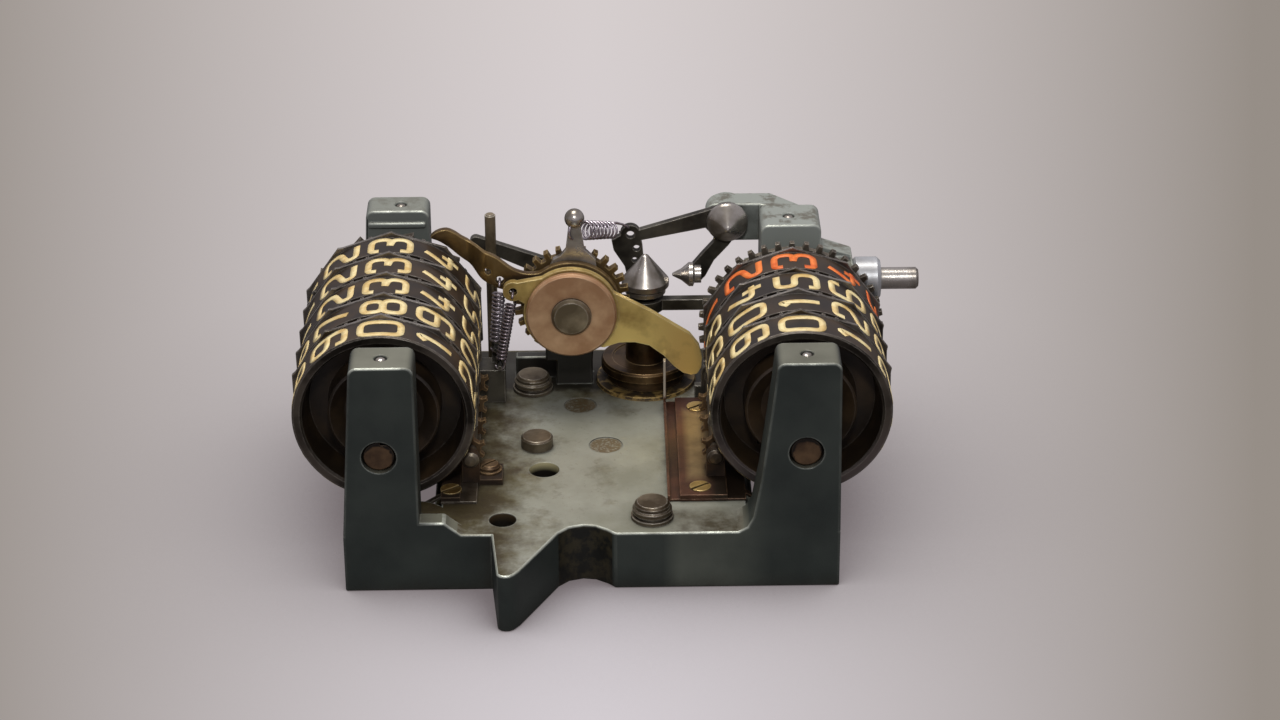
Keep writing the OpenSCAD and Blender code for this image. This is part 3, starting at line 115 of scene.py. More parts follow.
def calc(tree, operation, a, b=0.0, c=0.0, clamp=False):
    return add(tree, "ShaderNodeMath", _props={"operation": operation, "use_clamp": clamp}, i0=a, i1=b, i2=c)


def times(tree, first, *factors):
    """The product of several masks."""
    for factor in factors:
        first = calc(tree, "MULTIPLY", first, factor)
    return first


def blend_colour(tree, factor, a, b):
    return add(tree, "ShaderNodeMix", _out=2, _props={"data_type": "RGBA"}, i0=factor, i6=a, i7=b)


def remap(tree, value, low, high, to_low=0.0, to_high=1.0):
    return add(tree, "ShaderNodeMapRange", i0=value, i1=low, i2=high, i3=to_low, i4=to_high)


def span(tree, length, low, high, to_low=0.0, to_high=1.0):
    return remap(tree, length, low * MM, high * MM, to_low, to_high)


def below(tree, length, limit):
    return calc(tree, "LESS_THAN", length, limit * MM)


def object_place(tree):
    return add(tree, "ShaderNodeTexCoord", _out=3)


def noise(tree, place, scale, detail, roughness):
    return add(tree, "ShaderNodeTexNoise", Vector=place, Scale=scale, Detail=detail, Roughness=roughness)


def distance(tree, place, centre):
    return add(tree, "ShaderNodeVectorMath", _out=1, _props={"operation": "DISTANCE"}, i0=place,
               i1=[v * MM for v in centre])


def surface_point(tree):
    """The place of a surface point on its piece, whole and as x, y and z."""
    place = object_place(tree)
    return place, *add(tree, "ShaderNodeSeparateXYZ", i0=place).node.outputs


def rgb(red, green, blue):
    """A screen colour from 0 to 255, turned into linear light."""
    def linear(v):
        v /= 255
        return v / 12.92 if v <= 0.04045 else ((v + 0.055) / 1.055) ** 2.4
    return (linear(red), linear(green), linear(blue), 1.0)


print("a colour in linear light", [round(v, 3) for v in rgb(128, 128, 128)])

# %% [markdown]
# Handling polishes metal and chips paint first along its edges, and oil and dust settle in corners.
# Both effects are wanted on almost every piece, so each is one node group with its own inputs. The edge
# mask compares the true normal with a softened one; where the two differ there is an edge.

# %% Node groups for wear, grime and grain
def new_group(name, inputs, outputs):
    tree = bpy.data.node_groups.new(name, "ShaderNodeTree")
    for label, value in inputs:
        tree.interface.new_socket(label, in_out="INPUT", socket_type="NodeSocketFloat").default_value = value
    for label in outputs:
        tree.interface.new_socket(label, in_out="OUTPUT", socket_type="NodeSocketFloat")
    return tree, tree.nodes.new("NodeGroupInput").outputs, tree.nodes.new("NodeGroupOutput").inputs


def make_wear():
    tree, given, result = new_group("edge_wear", [("Width", 0.0004), ("Chips", 900.0), ("Amount", 1.0)],
                                    ["Mask"])
    soft = add(tree, "ShaderNodeBevel", _props={"samples": 6}, Radius=given["Width"])
    true = add(tree, "ShaderNodeNewGeometry", _out=1)
    alike = add(tree, "ShaderNodeVectorMath", _out=1, _props={"operation": "DOT_PRODUCT"}, i0=soft, i1=true)
    edge = remap(tree, alike, 0.995, 0.86)
    chips = noise(tree, object_place(tree), given["Chips"], 4.0, 0.6)
    broken = remap(tree, chips, 0.35, 0.62)
    worn = calc(tree, "MULTIPLY", edge, calc(tree, "MULTIPLY_ADD", broken, 0.75, 0.25))
    feed(result["Mask"], calc(tree, "MULTIPLY", worn, given["Amount"], clamp=True))
    return tree


def make_grime():
    tree, given, result = new_group("grime", [("Reach", 0.003), ("Scale", 240.0), ("Amount", 1.0)], ["Mask"])
    light = add(tree, "ShaderNodeAmbientOcclusion", _out=1, _props={"samples": 6}, Distance=given["Reach"])
    blots = noise(tree, object_place(tree), given["Scale"], 5.0, 0.65)
    deep = remap(tree, light, 0.92, 0.35)
    spread = calc(tree, "MULTIPLY", deep, remap(tree, blots, 0.3, 0.65, 0.35, 1.0))
    feed(result["Mask"], calc(tree, "MULTIPLY", spread, given["Amount"], clamp=True))
    return tree


def make_grain():
    tree, given, result = new_group("grain", [("Scale", 1500.0)], ["Height", "Blotch"])
    place = object_place(tree)
    feed(result["Height"], noise(tree, place, given["Scale"], 3.0, 0.7))
    feed(result["Blotch"], noise(tree, place, calc(tree, "DIVIDE", given["Scale"], 9.0), 4.0, 0.55))
    return tree


WEAR, GRIME, GRAIN = make_wear(), make_grime(), make_grain()


def use(tree, group, _out=0, **inputs):
    node = tree.nodes.new("ShaderNodeGroup")
    node.node_tree = group
    for key, value in inputs.items():
        node.inputs[key].default_value = value
    return node.outputs[_out]


print("groups", [g.name for g in bpy.data.node_groups])

# %% [markdown]
# Bare metals differ in colour, roughness and in how the tool left its marks. One function makes them
# all: a broad blotch darkens the metal where it has tarnished, grime gathers in corners, edges are
# rubbed bright, and a fine grain breaks up the highlight. The rounded normal catches light on edges.

# %% Bare metals
GRAIN_DEPTH = 0.00005


def finish_surface(tree, shader, colour, rough, metal, height, round_by, strength):
    rounded = add(tree, "ShaderNodeBevel", _props={"samples": 6}, Radius=round_by)
    bump = add(tree, "ShaderNodeBump", Strength=strength, Distance=GRAIN_DEPTH, Height=height, Normal=rounded)
    for name, value in (("Base Color", colour), ("Roughness", rough), ("Metallic", metal), ("Normal", bump)):
        feed(shader.inputs[name], value)


def start_material(name):
    material = bpy.data.materials.new(name)
    material.use_nodes = True
    tree = material.node_tree
    return material, tree, tree.nodes["Principled BSDF"]


def bare_metal(name, base, tarnish, bright, rough=0.3, grime=0.7, wear=0.8, scale=1500.0,
               dirt=rgb(38, 30, 22), blotch=(0.42, 0.62), bare=1.0):
    material, tree, shader = start_material(name)
    fine = use(tree, GRAIN, 0, Scale=scale)
    broad = use(tree, GRAIN, 1, Scale=scale)
    tone = blend_colour(tree, remap(tree, broad, *blotch), base, tarnish)
    edge = use(tree, WEAR, Width=0.0003, Amount=wear)
    tone = blend_colour(tree, edge, tone, bright)
    dust = use(tree, GRIME, Reach=0.002, Amount=grime)
    tone = blend_colour(tree, dust, tone, dirt)
    roughness = calc(tree, "ADD", calc(tree, "MULTIPLY_ADD", broad, 0.25, rough - 0.12),
                     calc(tree, "MULTIPLY", dust, 0.45), clamp=True)
    metal = remap(tree, dust, 0.0, 1.0, bare, bare * 0.25)
    finish_surface(tree, shader, tone, roughness, metal, fine, 0.00015, 0.25)
    return material


STEEL = bare_metal("polished_steel", rgb(196, 190, 182), rgb(134, 126, 114), rgb(238, 235, 230), rough=0.28,
                   dirt=rgb(46, 36, 24), bare=0.9)
DULL = bare_metal("dull_steel", rgb(126, 116, 100), rgb(72, 62, 50), rgb(190, 182, 168), rough=0.38, bare=0.8)
DARK = bare_metal("dark_steel", rgb(92, 88, 78), rgb(50, 47, 41), rgb(176, 170, 158), rough=0.38, wear=0.9,
                  bare=0.6)
BRASS = bare_metal("bright_brass", rgb(230, 202, 124), rgb(172, 144, 82), rgb(255, 240, 184), rough=0.34,
                   dirt=rgb(70, 50, 22), grime=0.9, bare=0.6, blotch=(0.46, 0.66))
SCREW_BRASS = bare_metal("screw_brass", rgb(212, 178, 106), rgb(128, 100, 56), rgb(255, 230, 164), rough=0.3,
                         dirt=rgb(40, 28, 14), grime=1.0, bare=0.8, blotch=(0.4, 0.56))
STAINED = bare_metal("stained_brass", rgb(158, 130, 74), rgb(62, 48, 28), rgb(214, 182, 112), rough=0.44,
                     dirt=rgb(26, 20, 11), grime=1.0, bare=0.4, scale=5200.0, blotch=(0.45, 0.53))
AXLE = bare_metal("axle_steel", rgb(146, 132, 108), rgb(98, 86, 66), rgb(214, 206, 190), rough=0.36, bare=0.5)
OLD_BRASS = bare_metal("dark_brass", rgb(122, 98, 58), rgb(80, 60, 34), rgb(224, 196, 132), rough=0.38,
                       dirt=rgb(34, 24, 13), grime=0.8, bare=0.65)
COPPER = bare_metal("copper_washer", rgb(212, 174, 136), rgb(178, 136, 100), rgb(240, 212, 176), rough=0.42,
                    dirt=rgb(70, 44, 26), grime=0.5, bare=0.5)
BRONZE = bare_metal("brown_bronze", rgb(116, 94, 68), rgb(58, 38, 25), rgb(200, 164, 116), rough=0.4,
                    dirt=rgb(26, 18, 10), grime=0.9, bare=0.65)
DISC = bare_metal("black_bronze", rgb(96, 74, 48), rgb(40, 28, 17), rgb(206, 174, 124), rough=0.34,
                  dirt=rgb(20, 14, 8), grime=1.0, bare=0.8)
ALUMINIUM = bare_metal("turned_aluminium", rgb(206, 208, 210), rgb(172, 172, 172), rgb(240, 241, 243),
                       rough=0.34, bare=0.6)
RUSTED = bare_metal("brown_screw", rgb(134, 122, 102), rgb(74, 62, 46), rgb(220, 212, 196), rough=0.36,
                    dirt=rgb(30, 23, 14), grime=1.0, wear=1.0, bare=0.75, blotch=(0.4, 0.6))
BROWNED = bare_metal("browned_steel", rgb(76, 58, 42), rgb(40, 30, 22), rgb(140, 118, 92), rough=0.48,
                     wear=0.5, bare=0.6)
SPRING = bare_metal("spring_wire", rgb(206, 196, 204), rgb(150, 138, 142), rgb(225, 220, 222), rough=0.25,
                    wear=0.0, dirt=rgb(34, 28, 26), grime=0.7, bare=0.85)
print("metals", len(bpy.data.materials))

# %% [markdown]
# The casting is enamelled a slate grey-green. Its front faces look dark and even; its upper faces are
# painted lighter, partly as rubbed paint and partly as painted light from above; the edges are chipped to
# bright metal, with a painted highlight where they face up; the upper rear posts carry painted light; and
# the floor inside is stained with oil, with painted shade under the levers.
# The masks come from the place on the casting and the way a face points, so they stay put when the
# camera moves. The colour is built up in layers, and each layer is a function that paints over the last.

# %% Points and paint of the casting
FLOOR_Z, FLOOR_LIMIT = 8.6, 9.2
NOTCH_X, NOTCH_REACH, NOTCH_TOP = 3.0, 8.0, 9.0
NOTCH_FRONT, NOTCH_BACK = -27.6, -19.5


class CastingPoint:
    """What the masks of the casting are made from."""


def casting_point(tree):
    at = CastingPoint()
    at.place, at.x, at.y, at.z = surface_point(tree)
    at.up = add(tree, "ShaderNodeSeparateXYZ", _out=2, i0=add(tree, "ShaderNodeNewGeometry", _out=1))
    at.upward = remap(tree, at.up, 0.5, 0.95)
    at.upright = calc(tree, "LESS_THAN", at.up, 0.5)
    at.floor = calc(tree, "MULTIPLY", at.upward, below(tree, at.z, FLOOR_LIMIT))
    at.broad = use(tree, GRAIN, 1, Scale=900.0)
    at.cloud = noise(tree, at.place, 170.0, 7.0, 0.68)
    at.smudge = noise(tree, at.place, 420.0, 6.0, 0.7)
    return at


def enamel_colours(tree, at, _):
    enamel = blend_colour(tree, remap(tree, at.broad, 0.35, 0.7), rgb(40, 46, 43), rgb(54, 60, 55))
    # Upward faces are painted lighter: partly rubbed paint, partly painted light from above.
    rubbed = blend_colour(tree, remap(tree, at.broad, 0.3, 0.7), rgb(92, 92, 78), rgb(116, 116, 102))
    return blend_colour(tree, at.upward, enamel, rubbed)


def lit_rear_posts(tree, at, tone):
    """The upper rear posts are painted paler, as painted light, and smudges lie on their tops."""
    ragged = calc(tree, "MULTIPLY_ADD", at.broad, 4.0 * MM, at.z)
    lit_rear = times(tree, span(tree, at.y, 15.0, 15.7), span(tree, ragged, 28.5, 31.5),
                 span(tree, at.x, -25.0, 20.0, 0.5, 0.9))
    tone = blend_colour(tree, lit_rear, tone, rgb(146, 151, 144))
    smudged = times(tree, lit_rear, at.upward, remap(tree, at.smudge, 0.5, 0.62))
    return blend_colour(tree, smudged, tone, rgb(96, 92, 80))


def rubbed_front(tree, at, tone):
    """The front face right of the notch is lighter, where a hand has rubbed it."""
    hand = times(tree, span(tree, at.x, 9.5, 12.0), span(tree, at.x, 24.5, 17.5), below(tree, at.y, -27.5),
                 remap(tree, at.broad, 0.25, 0.7, 0.35, 0.9))
    return blend_colour(tree, hand, tone, rgb(92, 96, 86))


def raw_notch(tree, at, tone):
    """The curved side of the notch is raw casting skin, nearly black."""
    aside = calc(tree, "ABSOLUTE", calc(tree, "SUBTRACT", at.x, NOTCH_X * MM))
    skin = times(tree, at.upright, below(tree, at.z, NOTCH_TOP),
                 calc(tree, "GREATER_THAN", at.y, NOTCH_FRONT * MM), below(tree, at.y, NOTCH_BACK),
                 below(tree, aside, NOTCH_REACH))
    raw = blend_colour(tree, remap(tree, at.smudge, 0.45, 0.58), rgb(19, 20, 16), rgb(52, 47, 32))
    return blend_colour(tree, skin, tone, raw)


print("floor at", FLOOR_Z, "notch from", NOTCH_X - NOTCH_REACH, "to", NOTCH_X + NOTCH_REACH)

# %% [markdown]
# The floor of the frame has been milled, so it is paler and metallic. The oil on it has a ragged shore:
# a value that grows towards the left and the back is added to cloudy noise, and the sum is cut where
# the oil ends. Dirt, specks and two punched spots go over the oil. Painted shade, nearly black, goes
# under the levers and down the walls of the fixing holes.

# %% Floor, oil and holes of the casting
PUNCHED_SPOTS = ((-1.9, 9.7), (1.8, -2.6))
FIXING_HOLES = (((-12.6, -23.9), 2.2, rgb(74, 58, 36)), ((-7.0, -9.8), 2.4, rgb(206, 196, 150)))


def milled_floor(tree, at, tone):
    milled = blend_colour(tree, remap(tree, at.broad, 0.35, 0.65), rgb(166, 167, 154), rgb(138, 138, 122))
    return blend_colour(tree, at.floor, tone, milled)


def floor_stains(tree, at, tone):
    """Oil has crept over the floor from the left and from behind."""
    left_side = span(tree, at.x, -4.0, -20.0)
    far_side = span(tree, at.y, 6.0, 18.0)
    reach = calc(tree, "MAXIMUM", left_side, calc(tree, "MULTIPLY", far_side, 0.7))
    wet = remap(tree, calc(tree, "MULTIPLY_ADD", reach, 0.42, at.cloud), 0.55, 0.82)
    oil = blend_colour(tree, remap(tree, at.smudge, 0.42, 0.6), rgb(96, 86, 48), rgb(70, 56, 34))
    return blend_colour(tree, times(tree, wet, at.floor, 0.9), tone, oil)


def banked_dirt(tree, at, tone):
    """Dirt lies along the left bar and behind the front edge on the right, with specks all over."""
    front_right = times(tree, span(tree, at.x, 9.5, 12.5), span(tree, at.y, -20.5, -22.5))
    banked = calc(tree, "MAXIMUM", front_right, span(tree, at.x, -9.5, -13.5))
    banked = times(tree, banked, at.floor, remap(tree, at.cloud, 0.36, 0.6, 0.3, 0.9))
    tone = blend_colour(tree, banked, tone, rgb(60, 50, 28))
    speckle = remap(tree, noise(tree, at.place, 1900.0, 5.0, 0.75), 0.60, 0.72)
    specks = times(tree, speckle, calc(tree, "MULTIPLY", at.floor, 0.6))
    return blend_colour(tree, specks, tone, rgb(96, 86, 62))


def punched_spots(tree, at, tone):
    """Two punched spots are brown in their fine hatching."""
    hatch = remap(tree, noise(tree, at.place, 2600.0, 2.0, 0.6), 0.3, 0.5)
    for x, y in PUNCHED_SPOTS:
        away = distance(tree, at.place, (x, y, FLOOR_Z))
        spotted = times(tree, span(tree, away, 2.6, 2.1), hatch, 0.85)
        tone = blend_colour(tree, spotted, tone, rgb(102, 82, 48))
    return tone


def shade_under_levers(tree, at, tone):
    """Painted shade, nearly black, lies under and behind the levers, behind the floor screws, and stops short
    of the rear face.
    """
    ragged = calc(tree, "MULTIPLY_ADD", at.cloud, 6.0 * MM, at.y)
    inside = calc(tree, "MULTIPLY", below(tree, calc(tree, "ABSOLUTE", at.x), 19.5), below(tree, at.y, 27.2))
    shaded_back = times(tree, span(tree, ragged, 16.5, 18.5), span(tree, at.z, 23.5, 21.5), inside, 0.88)
    return blend_colour(tree, shaded_back, tone, rgb(26, 23, 16))


def bare_holes(tree, at, tone):
    """The walls of the two fixing holes are bare metal, with painted shade darkening them lower down."""
    plan = add(tree, "ShaderNodeCombineXYZ", i0=at.x, i1=at.y)
    for (x, y), reach, top in FIXING_HOLES:
        wall = calc(tree, "MULTIPLY", below(tree, distance(tree, plan, (x, y, 0)), reach), at.upright)
        # Painted shade: each hole wall darkens towards its bottom.
        deep = blend_colour(tree, span(tree, at.z, 8.4, 7.4), top, rgb(22, 18, 11))
        tone = blend_colour(tree, wall, tone, deep)
    return tone


ENAMEL_LAYERS = (enamel_colours, lit_rear_posts, rubbed_front, raw_notch, milled_floor, floor_stains,
                 banked_dirt, punched_spots, shade_under_levers, bare_holes)
print("layers", len(ENAMEL_LAYERS))

# %% [markdown]
# Worn edges, with a painted highlight on those that face up, and settled dust go over everything. The edge
# mask has two sources: the wear group, which finds any edge, and an attribute called worn, which marks the
# strips that are bevelled further down.

# %% Casting enamel
def worn_edges_and_highlights(tree, at):
    chips = use(tree, WEAR, Width=0.0004, Chips=700.0, Amount=0.55)
    strip = add(tree, "ShaderNodeAttribute", _out=2, _props={"attribute_name": "worn"})
    chipped = calc(tree, "MULTIPLY_ADD", remap(tree, at.cloud, 0.42, 0.58), 0.75, 0.25)
    # Strips that face up are brighter: partly wear, partly a painted highlight.
    strip = times(tree, strip, chipped, remap(tree, at.up, 0.0, 0.7, 0.06, 1.0))
    return calc(tree, "MAXIMUM", chips, strip, clamp=True)


def casting_enamel():
    material, tree, shader = start_material("casting_enamel")
    at = casting_point(tree)
    tone = None
    for layer in ENAMEL_LAYERS:
        tone = layer(tree, at, tone)
    edge = worn_edges_and_highlights(tree, at)
    tone = blend_colour(tree, edge, tone, rgb(190, 194, 182))
    dust = use(tree, GRIME, Reach=0.0035, Scale=300.0, Amount=0.9)
    tone = blend_colour(tree, dust, tone, rgb(34, 28, 18))
    rough = calc(tree, "MULTIPLY_ADD", at.broad, 0.3, 0.3)
    rough = calc(tree, "ADD", rough, calc(tree, "MULTIPLY", dust, 0.3), clamp=True)
    metal = calc(tree, "MAXIMUM", calc(tree, "MULTIPLY", at.floor, 0.4), calc(tree, "MULTIPLY", edge, 0.7))
    finish_surface(tree, shader, tone, rough, metal, use(tree, GRAIN, 0, Scale=2600.0), 0.0003, 0.35)
    return material


ENAMEL = casting_enamel()
print("enamel nodes", len(ENAMEL.node_tree.nodes))

# %% [markdown]
# A number wheel is one turned body with a blackened band. The band shows brown where the blacking has
# thinned, and the toothed rings and the rim are rubbed to grey metal. The distance from the wheel's own
# axis tells the rings from the band, so one material serves both banks through the X coordinate.

# %% Number wheel finish
AXLE_X, AXLE_Z, BAND_R = 29.0, 21.0, 12.7
TEETH_R, RIM_R, RIM_Y = 12.77, 11.0, -16.35


def from_axle(tree, x, z, axle_x, axle_z):
    """Height above an axle and distance from it, alike for both banks."""
    across = calc(tree, "SUBTRACT", calc(tree, "ABSOLUTE", x), axle_x * MM)
    above = calc(tree, "SUBTRACT", z, axle_z * MM)
    away = calc(tree, "SQRT", calc(tree, "ADD", calc(tree, "MULTIPLY", across, across),
                                   calc(tree, "MULTIPLY", above, above)))
    return above, away


def wheel_finish():
    material, tree, shader = start_material("wheel_blacking")
    _, x, y, z = surface_point(tree)
    above, away = from_axle(tree, x, z, AXLE_X, AXLE_Z)
    broad = use(tree, GRAIN, 1, Scale=1300.0)
    band = blend_colour(tree, remap(tree, broad, 0.4, 0.65), rgb(34, 26, 18), rgb(62, 47, 30))
    teeth = calc(tree, "GREATER_THAN", away, TEETH_R * MM)
    ring = blend_colour(tree, remap(tree, broad, 0.38, 0.62), rgb(158, 152, 146), rgb(62, 54, 46))
    tone = blend_colour(tree, teeth, band, ring)
    # The front rim is worn, most of all low down on the right bank
    rim = calc(tree, "MULTIPLY", below(tree, y, RIM_Y), calc(tree, "GREATER_THAN", away, RIM_R * MM))
    bare = blend_colour(tree, remap(tree, broad, 0.4, 0.6), rgb(104, 96, 86), rgb(46, 41, 35))
    rubbed = times(tree, span(tree, above, -1.0, -6.0), span(tree, x, 0.0, 20.0, 0.1, 0.6))
    bare = blend_colour(tree, rubbed, bare, rgb(128, 116, 114))
    tone = blend_colour(tree, rim, tone, bare)
    # Edges are chipped, but hardly inside the dish
    edge = use(tree, WEAR, Width=0.00035, Chips=1100.0, Amount=0.9)
    edge = calc(tree, "MULTIPLY", edge, span(tree, away, 10.5, 11.2, 0.1, 1.0))
    tone = blend_colour(tree, edge, tone, rgb(188, 180, 168))
    dust = use(tree, GRIME, Reach=0.0022, Amount=0.85)
    tone = blend_colour(tree, dust, tone, rgb(20, 15, 11))
    shiny = calc(tree, "MAXIMUM", teeth, rim)
    metal = calc(tree, "MAXIMUM", calc(tree, "MULTIPLY", shiny, 0.85), edge)
    rough = calc(tree, "MULTIPLY_ADD", broad, 0.3, 0.26)
    finish_surface(tree, shader, tone, rough, metal, use(tree, GRAIN, 0, Scale=3000.0), 0.0001, 0.25)
    return material


WHEEL = wheel_finish()
print("wheel nodes", len(WHEEL.node_tree.nodes))

# %% [markdown]
# The axle ends stand a little back in the posts. Each end is painted darker in a ragged crescent along its
# top, so the mask is a circle set lower than the axle, with its edge broken up by noise.

# %% Axle end finish
CLEAN_X, CLEAN_Z = 29.1, 20.6


def axle_end_finish():
    material, tree, shader = start_material("browned_axle")
    place, x, _, z = surface_point(tree)
    _, away = from_axle(tree, x, z, CLEAN_X, CLEAN_Z)
    ragged = calc(tree, "MULTIPLY_ADD", noise(tree, place, 1400.0, 3.0, 0.6), 0.9 * MM, away)
    dark_crescent = span(tree, ragged, 2.25, 2.45)
    broad = use(tree, GRAIN, 1, Scale=2600.0)
    tone = blend_colour(tree, remap(tree, broad, 0.38, 0.64), rgb(104, 80, 56), rgb(62, 44, 30))
    tone = blend_colour(tree, dark_crescent, tone, rgb(22, 16, 11))
    edge = use(tree, WEAR, Width=0.0003, Amount=0.5)
    tone = blend_colour(tree, edge, tone, rgb(120, 100, 78))
    finish_surface(tree, shader, tone, 0.5, 0.35, use(tree, GRAIN, 0, Scale=2600.0), 0.00015, 0.4)
    return material


AXLE_END = axle_end_finish()
print("axle end nodes", len(AXLE_END.node_tree.nodes))

# %% [markdown]
# The clamp bar of the right bank and the leaf on it have browned together. They are red at their ends
# and along their inner edge and olive in the middle, and painted shadow darkens their side towards the
# wheels. Whatever stands up above the bar is pale, because it has been rubbed bright.

# %% Clamp bar finish
BAR_MIDDLE = 4.5


def clamp_bar_finish():
    material, tree, shader = start_material("red_brown_bar")
    _, x, y, z = surface_point(tree)
    blotch = remap(tree, use(tree, GRAIN, 1, Scale=1500.0), 0.4, 0.62)
    olive = blend_colour(tree, blotch, rgb(138, 116, 80), rgb(96, 76, 50))
    red = blend_colour(tree, blotch, rgb(92, 58, 41), rgb(58, 36, 26))
    ends = span(tree, calc(tree, "ABSOLUTE", calc(tree, "ADD", y, BAR_MIDDLE * MM)), 8.5, 11.5)
    tone = blend_colour(tree, calc(tree, "MAXIMUM", ends, span(tree, x, 13.9, 12.8)), olive, red)
    # Painted shadow on the side towards the wheels.
    tone = blend_colour(tree, span(tree, x, 15.2, 17.2), tone, rgb(42, 32, 22))
    edge = use(tree, WEAR, Width=0.0003, Amount=0.6)
    tone = blend_colour(tree, edge, tone, rgb(176, 138, 108))
    dust = use(tree, GRIME, Reach=0.002, Amount=1.0)
    tone = blend_colour(tree, dust, tone, rgb(30, 20, 13))
    tone = blend_colour(tree, span(tree, z, 10.2, 10.8), tone, rgb(206, 196, 180))
    finish_surface(tree, shader, tone, 0.42, 0.55, use(tree, GRAIN, 0, Scale=2600.0), 0.0002, 0.35)
    return material


BAR = clamp_bar_finish()
print("clamp bar nodes", len(BAR.node_tree.nodes))

# %% [markdown]
# Each solid keeps its own mesh and only receives a finish. The table below goes from finish to nodes.

# %% Give every solid its finish
FINISHES = [
    (ENAMEL, ["frame_casting"]),
    (AXLE_END, ["left_axle", "right_axle"]),
    (BROWNED, ["left_front_bracket", "right_front_bracket", "left_clamp_bar"]),
    (STEEL, ["axle_pins", "input_shaft", "pivot_screw", "cone_screw", "cone_nut", "axle_clip", "ball_arm"]),
    (RUSTED, ["frame_screws", "floor_stud"]),
    (DULL, ["axle_collars", "pinion_shafts", "left_feed_ratchet", "right_lock_ring", "left_detent_leaf"]),
    (AXLE, ["central_axle", "guide_pin"]),
    (DISC, ["spindle_disc", "spindle"]),
    (DARK, ["left_rear_bracket", "right_rear_bracket", "rear_arm", "bell_crank", "spindle_arm"]),
    (WHEEL, [f"left_wheel_{i}" for i in range(1, 6)] + [f"right_wheel_{i}" for i in range(1, 5)]),
    (BRASS, ["front_lever", "input_worm"]),
    (SCREW_BRASS, ["clamp_screws"]),
    (STAINED, ["seat_ring"]),
    (OLD_BRASS, ["rear_lever", "toothed_wheel", "drive_gear"]),
    (BRONZE, [f"left_pinion_{i}" for i in range(1, 5)] + [f"right_pinion_{i}" for i in range(1, 4)]),
    (COPPER, ["bronze_washer"]),
    (BRONZE, ["bracket_screw"]),
    (BAR, ["right_clamp_bar", "right_detent_leaf"]),
    (ALUMINIUM, ["shaft_bush"]),
    (SPRING, ["front_spring", "rear_spring", "link_spring"]),
]
for finish, names in FINISHES:
    for name in names:
        nodes[name].data.materials.clear()
        nodes[name].data.materials.append(finish)
print("dressed", sum(len(names) for _, names in FINISHES), "of", len(nodes))

# %% [markdown]
# Every new piece starts as a bmesh or as a curve. These helpers turn either into what is needed next. A
# crease angle makes a piece smooth, apart from edges that are sharper than the angle. Spinning and
# cutting leave edges and faces in an order that changes from run to run, so both can be sorted by the
# numbers of their points. The order doesn't show, but the same script should give the same mesh.

# %% Helpers for new pieces
def make_piece(name, build, finish, crease=None):
    """An object with one finish, from a bmesh that isn't needed any longer."""
    if crease:
        for face in build.faces:
            face.smooth = True
    mesh = bpy.data.meshes.new(name)
    build.to_mesh(mesh)
    build.free()
    if crease:
        mesh.set_sharp_from_angle(angle=math.radians(crease))
    mesh.materials.append(finish)
    return in_scene(bpy.data.objects.new(name, mesh))


def curve_object(name, lines, **settings):
    """A curve from straight-sided lines, given as (points, closed) pairs."""
    data = bpy.data.curves.new(name, "CURVE")
    for key, value in settings.items():
        setattr(data, key, value)
    for points, closed in lines:
        line = data.splines.new("POLY")
        line.points.add(len(points) - 1)
        for point, place in zip(line.points, points):
            point.co = (place[0], place[1], 0, 1)
        line.use_cyclic_u = closed
    return in_scene(bpy.data.objects.new(name, data))


def mesh_from_curve(holder):
    mesh = bpy.data.meshes.new_from_object(holder.evaluated_get(bpy.context.evaluated_depsgraph_get()))
    bpy.data.objects.remove(holder)
    return mesh


def everything(build):
    return build.verts[:] + build.edges[:] + build.faces[:]


def only_edges(items):
    return [item for item in items if isinstance(item, bmesh.types.BMEdge)]


def sort_parts(build):
    """Put edges and faces in the order of their lowest points."""
    build.verts.index_update()
    count = len(build.verts)
    for parts in (build.edges, build.faces):
        ranks = {}
        for part in parts:
            lowest = sorted(vert.index for vert in part.verts)[:3]
            ranks[part] = sum(index * count ** (2 - place) for place, index in enumerate(lowest))
        parts.sort(key=ranks.get)
        parts.index_update()


print("helpers ready")

# %% [markdown]
# A casting has no knife edges. A copy of its mesh is cleaned, its outer edges are found by walking from
# edge to edge, and they are bevelled; the small rims of drilled holes stay sharp. The new strips are
# marked with an attribute, and the enamel shows worn metal there, with a painted highlight where they face
# up.

# %% Rounded casting
LEAST_REACH = 0.0055


def outer_edges(build):
    """Convex edges that hang together and reach further than a drilled hole does."""
    sharp = {edge for edge in build.edges
             if edge.is_manifold and edge.is_convex and edge.calc_face_angle() > math.radians(35)}
    chosen = []
    while sharp:
        waiting, group = [sharp.pop()], []
        while waiting:
            edge = waiting.pop()
            group.append(edge)
            for vert in edge.verts:
                fresh = [other for other in vert.link_edges if other in sharp]
                sharp.difference_update(fresh)
                waiting.extend(fresh)
        spots = [vert.co for edge in group for vert in edge.verts]
        reach = max(max(c[axis] for c in spots) - min(c[axis] for c in spots) for axis in range(3))
        if reach > LEAST_REACH:
            chosen.extend(group)
    return chosen


def rounded_casting():
    build = bmesh.new()
    build.from_mesh(nodes["frame_casting"].data)
    bmesh.ops.remove_doubles(build, verts=build.verts, dist=1e-7)
    bmesh.ops.dissolve_limit(build, angle_limit=math.radians(0.5), verts=build.verts, edges=build.edges)
    edges = outer_edges(build)
    made = bmesh.ops.bevel(build, geom=edges, offset=0.0003, offset_type="OFFSET", segments=3, profile=0.5,
                           affect="EDGES", clamp_overlap=False, material=-1)
    worn = build.loops.layers.float.new("worn")
    for face in made["faces"]:
        for loop in face.loops:
            loop[worn] = 1.0
    piece = make_piece("rounded_casting", build, ENAMEL, crease=33)
    piece.modifiers.new("even_normals", "WEIGHTED_NORMAL").keep_sharp = True
    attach(piece, "frame")
    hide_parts("frame_casting")
    print("bevelled", len(edges), "edges,", len(piece.data.polygons), "faces")


rounded_casting()

# %% [markdown]
# The rear lever is one strip of brass with a soft bend that sets its far end back beside the last
# wheel. The strip is drawn flat, as a curve with three holes in it, and bent by moving its points
# back. Cuts across the bend give it enough points to turn smoothly.

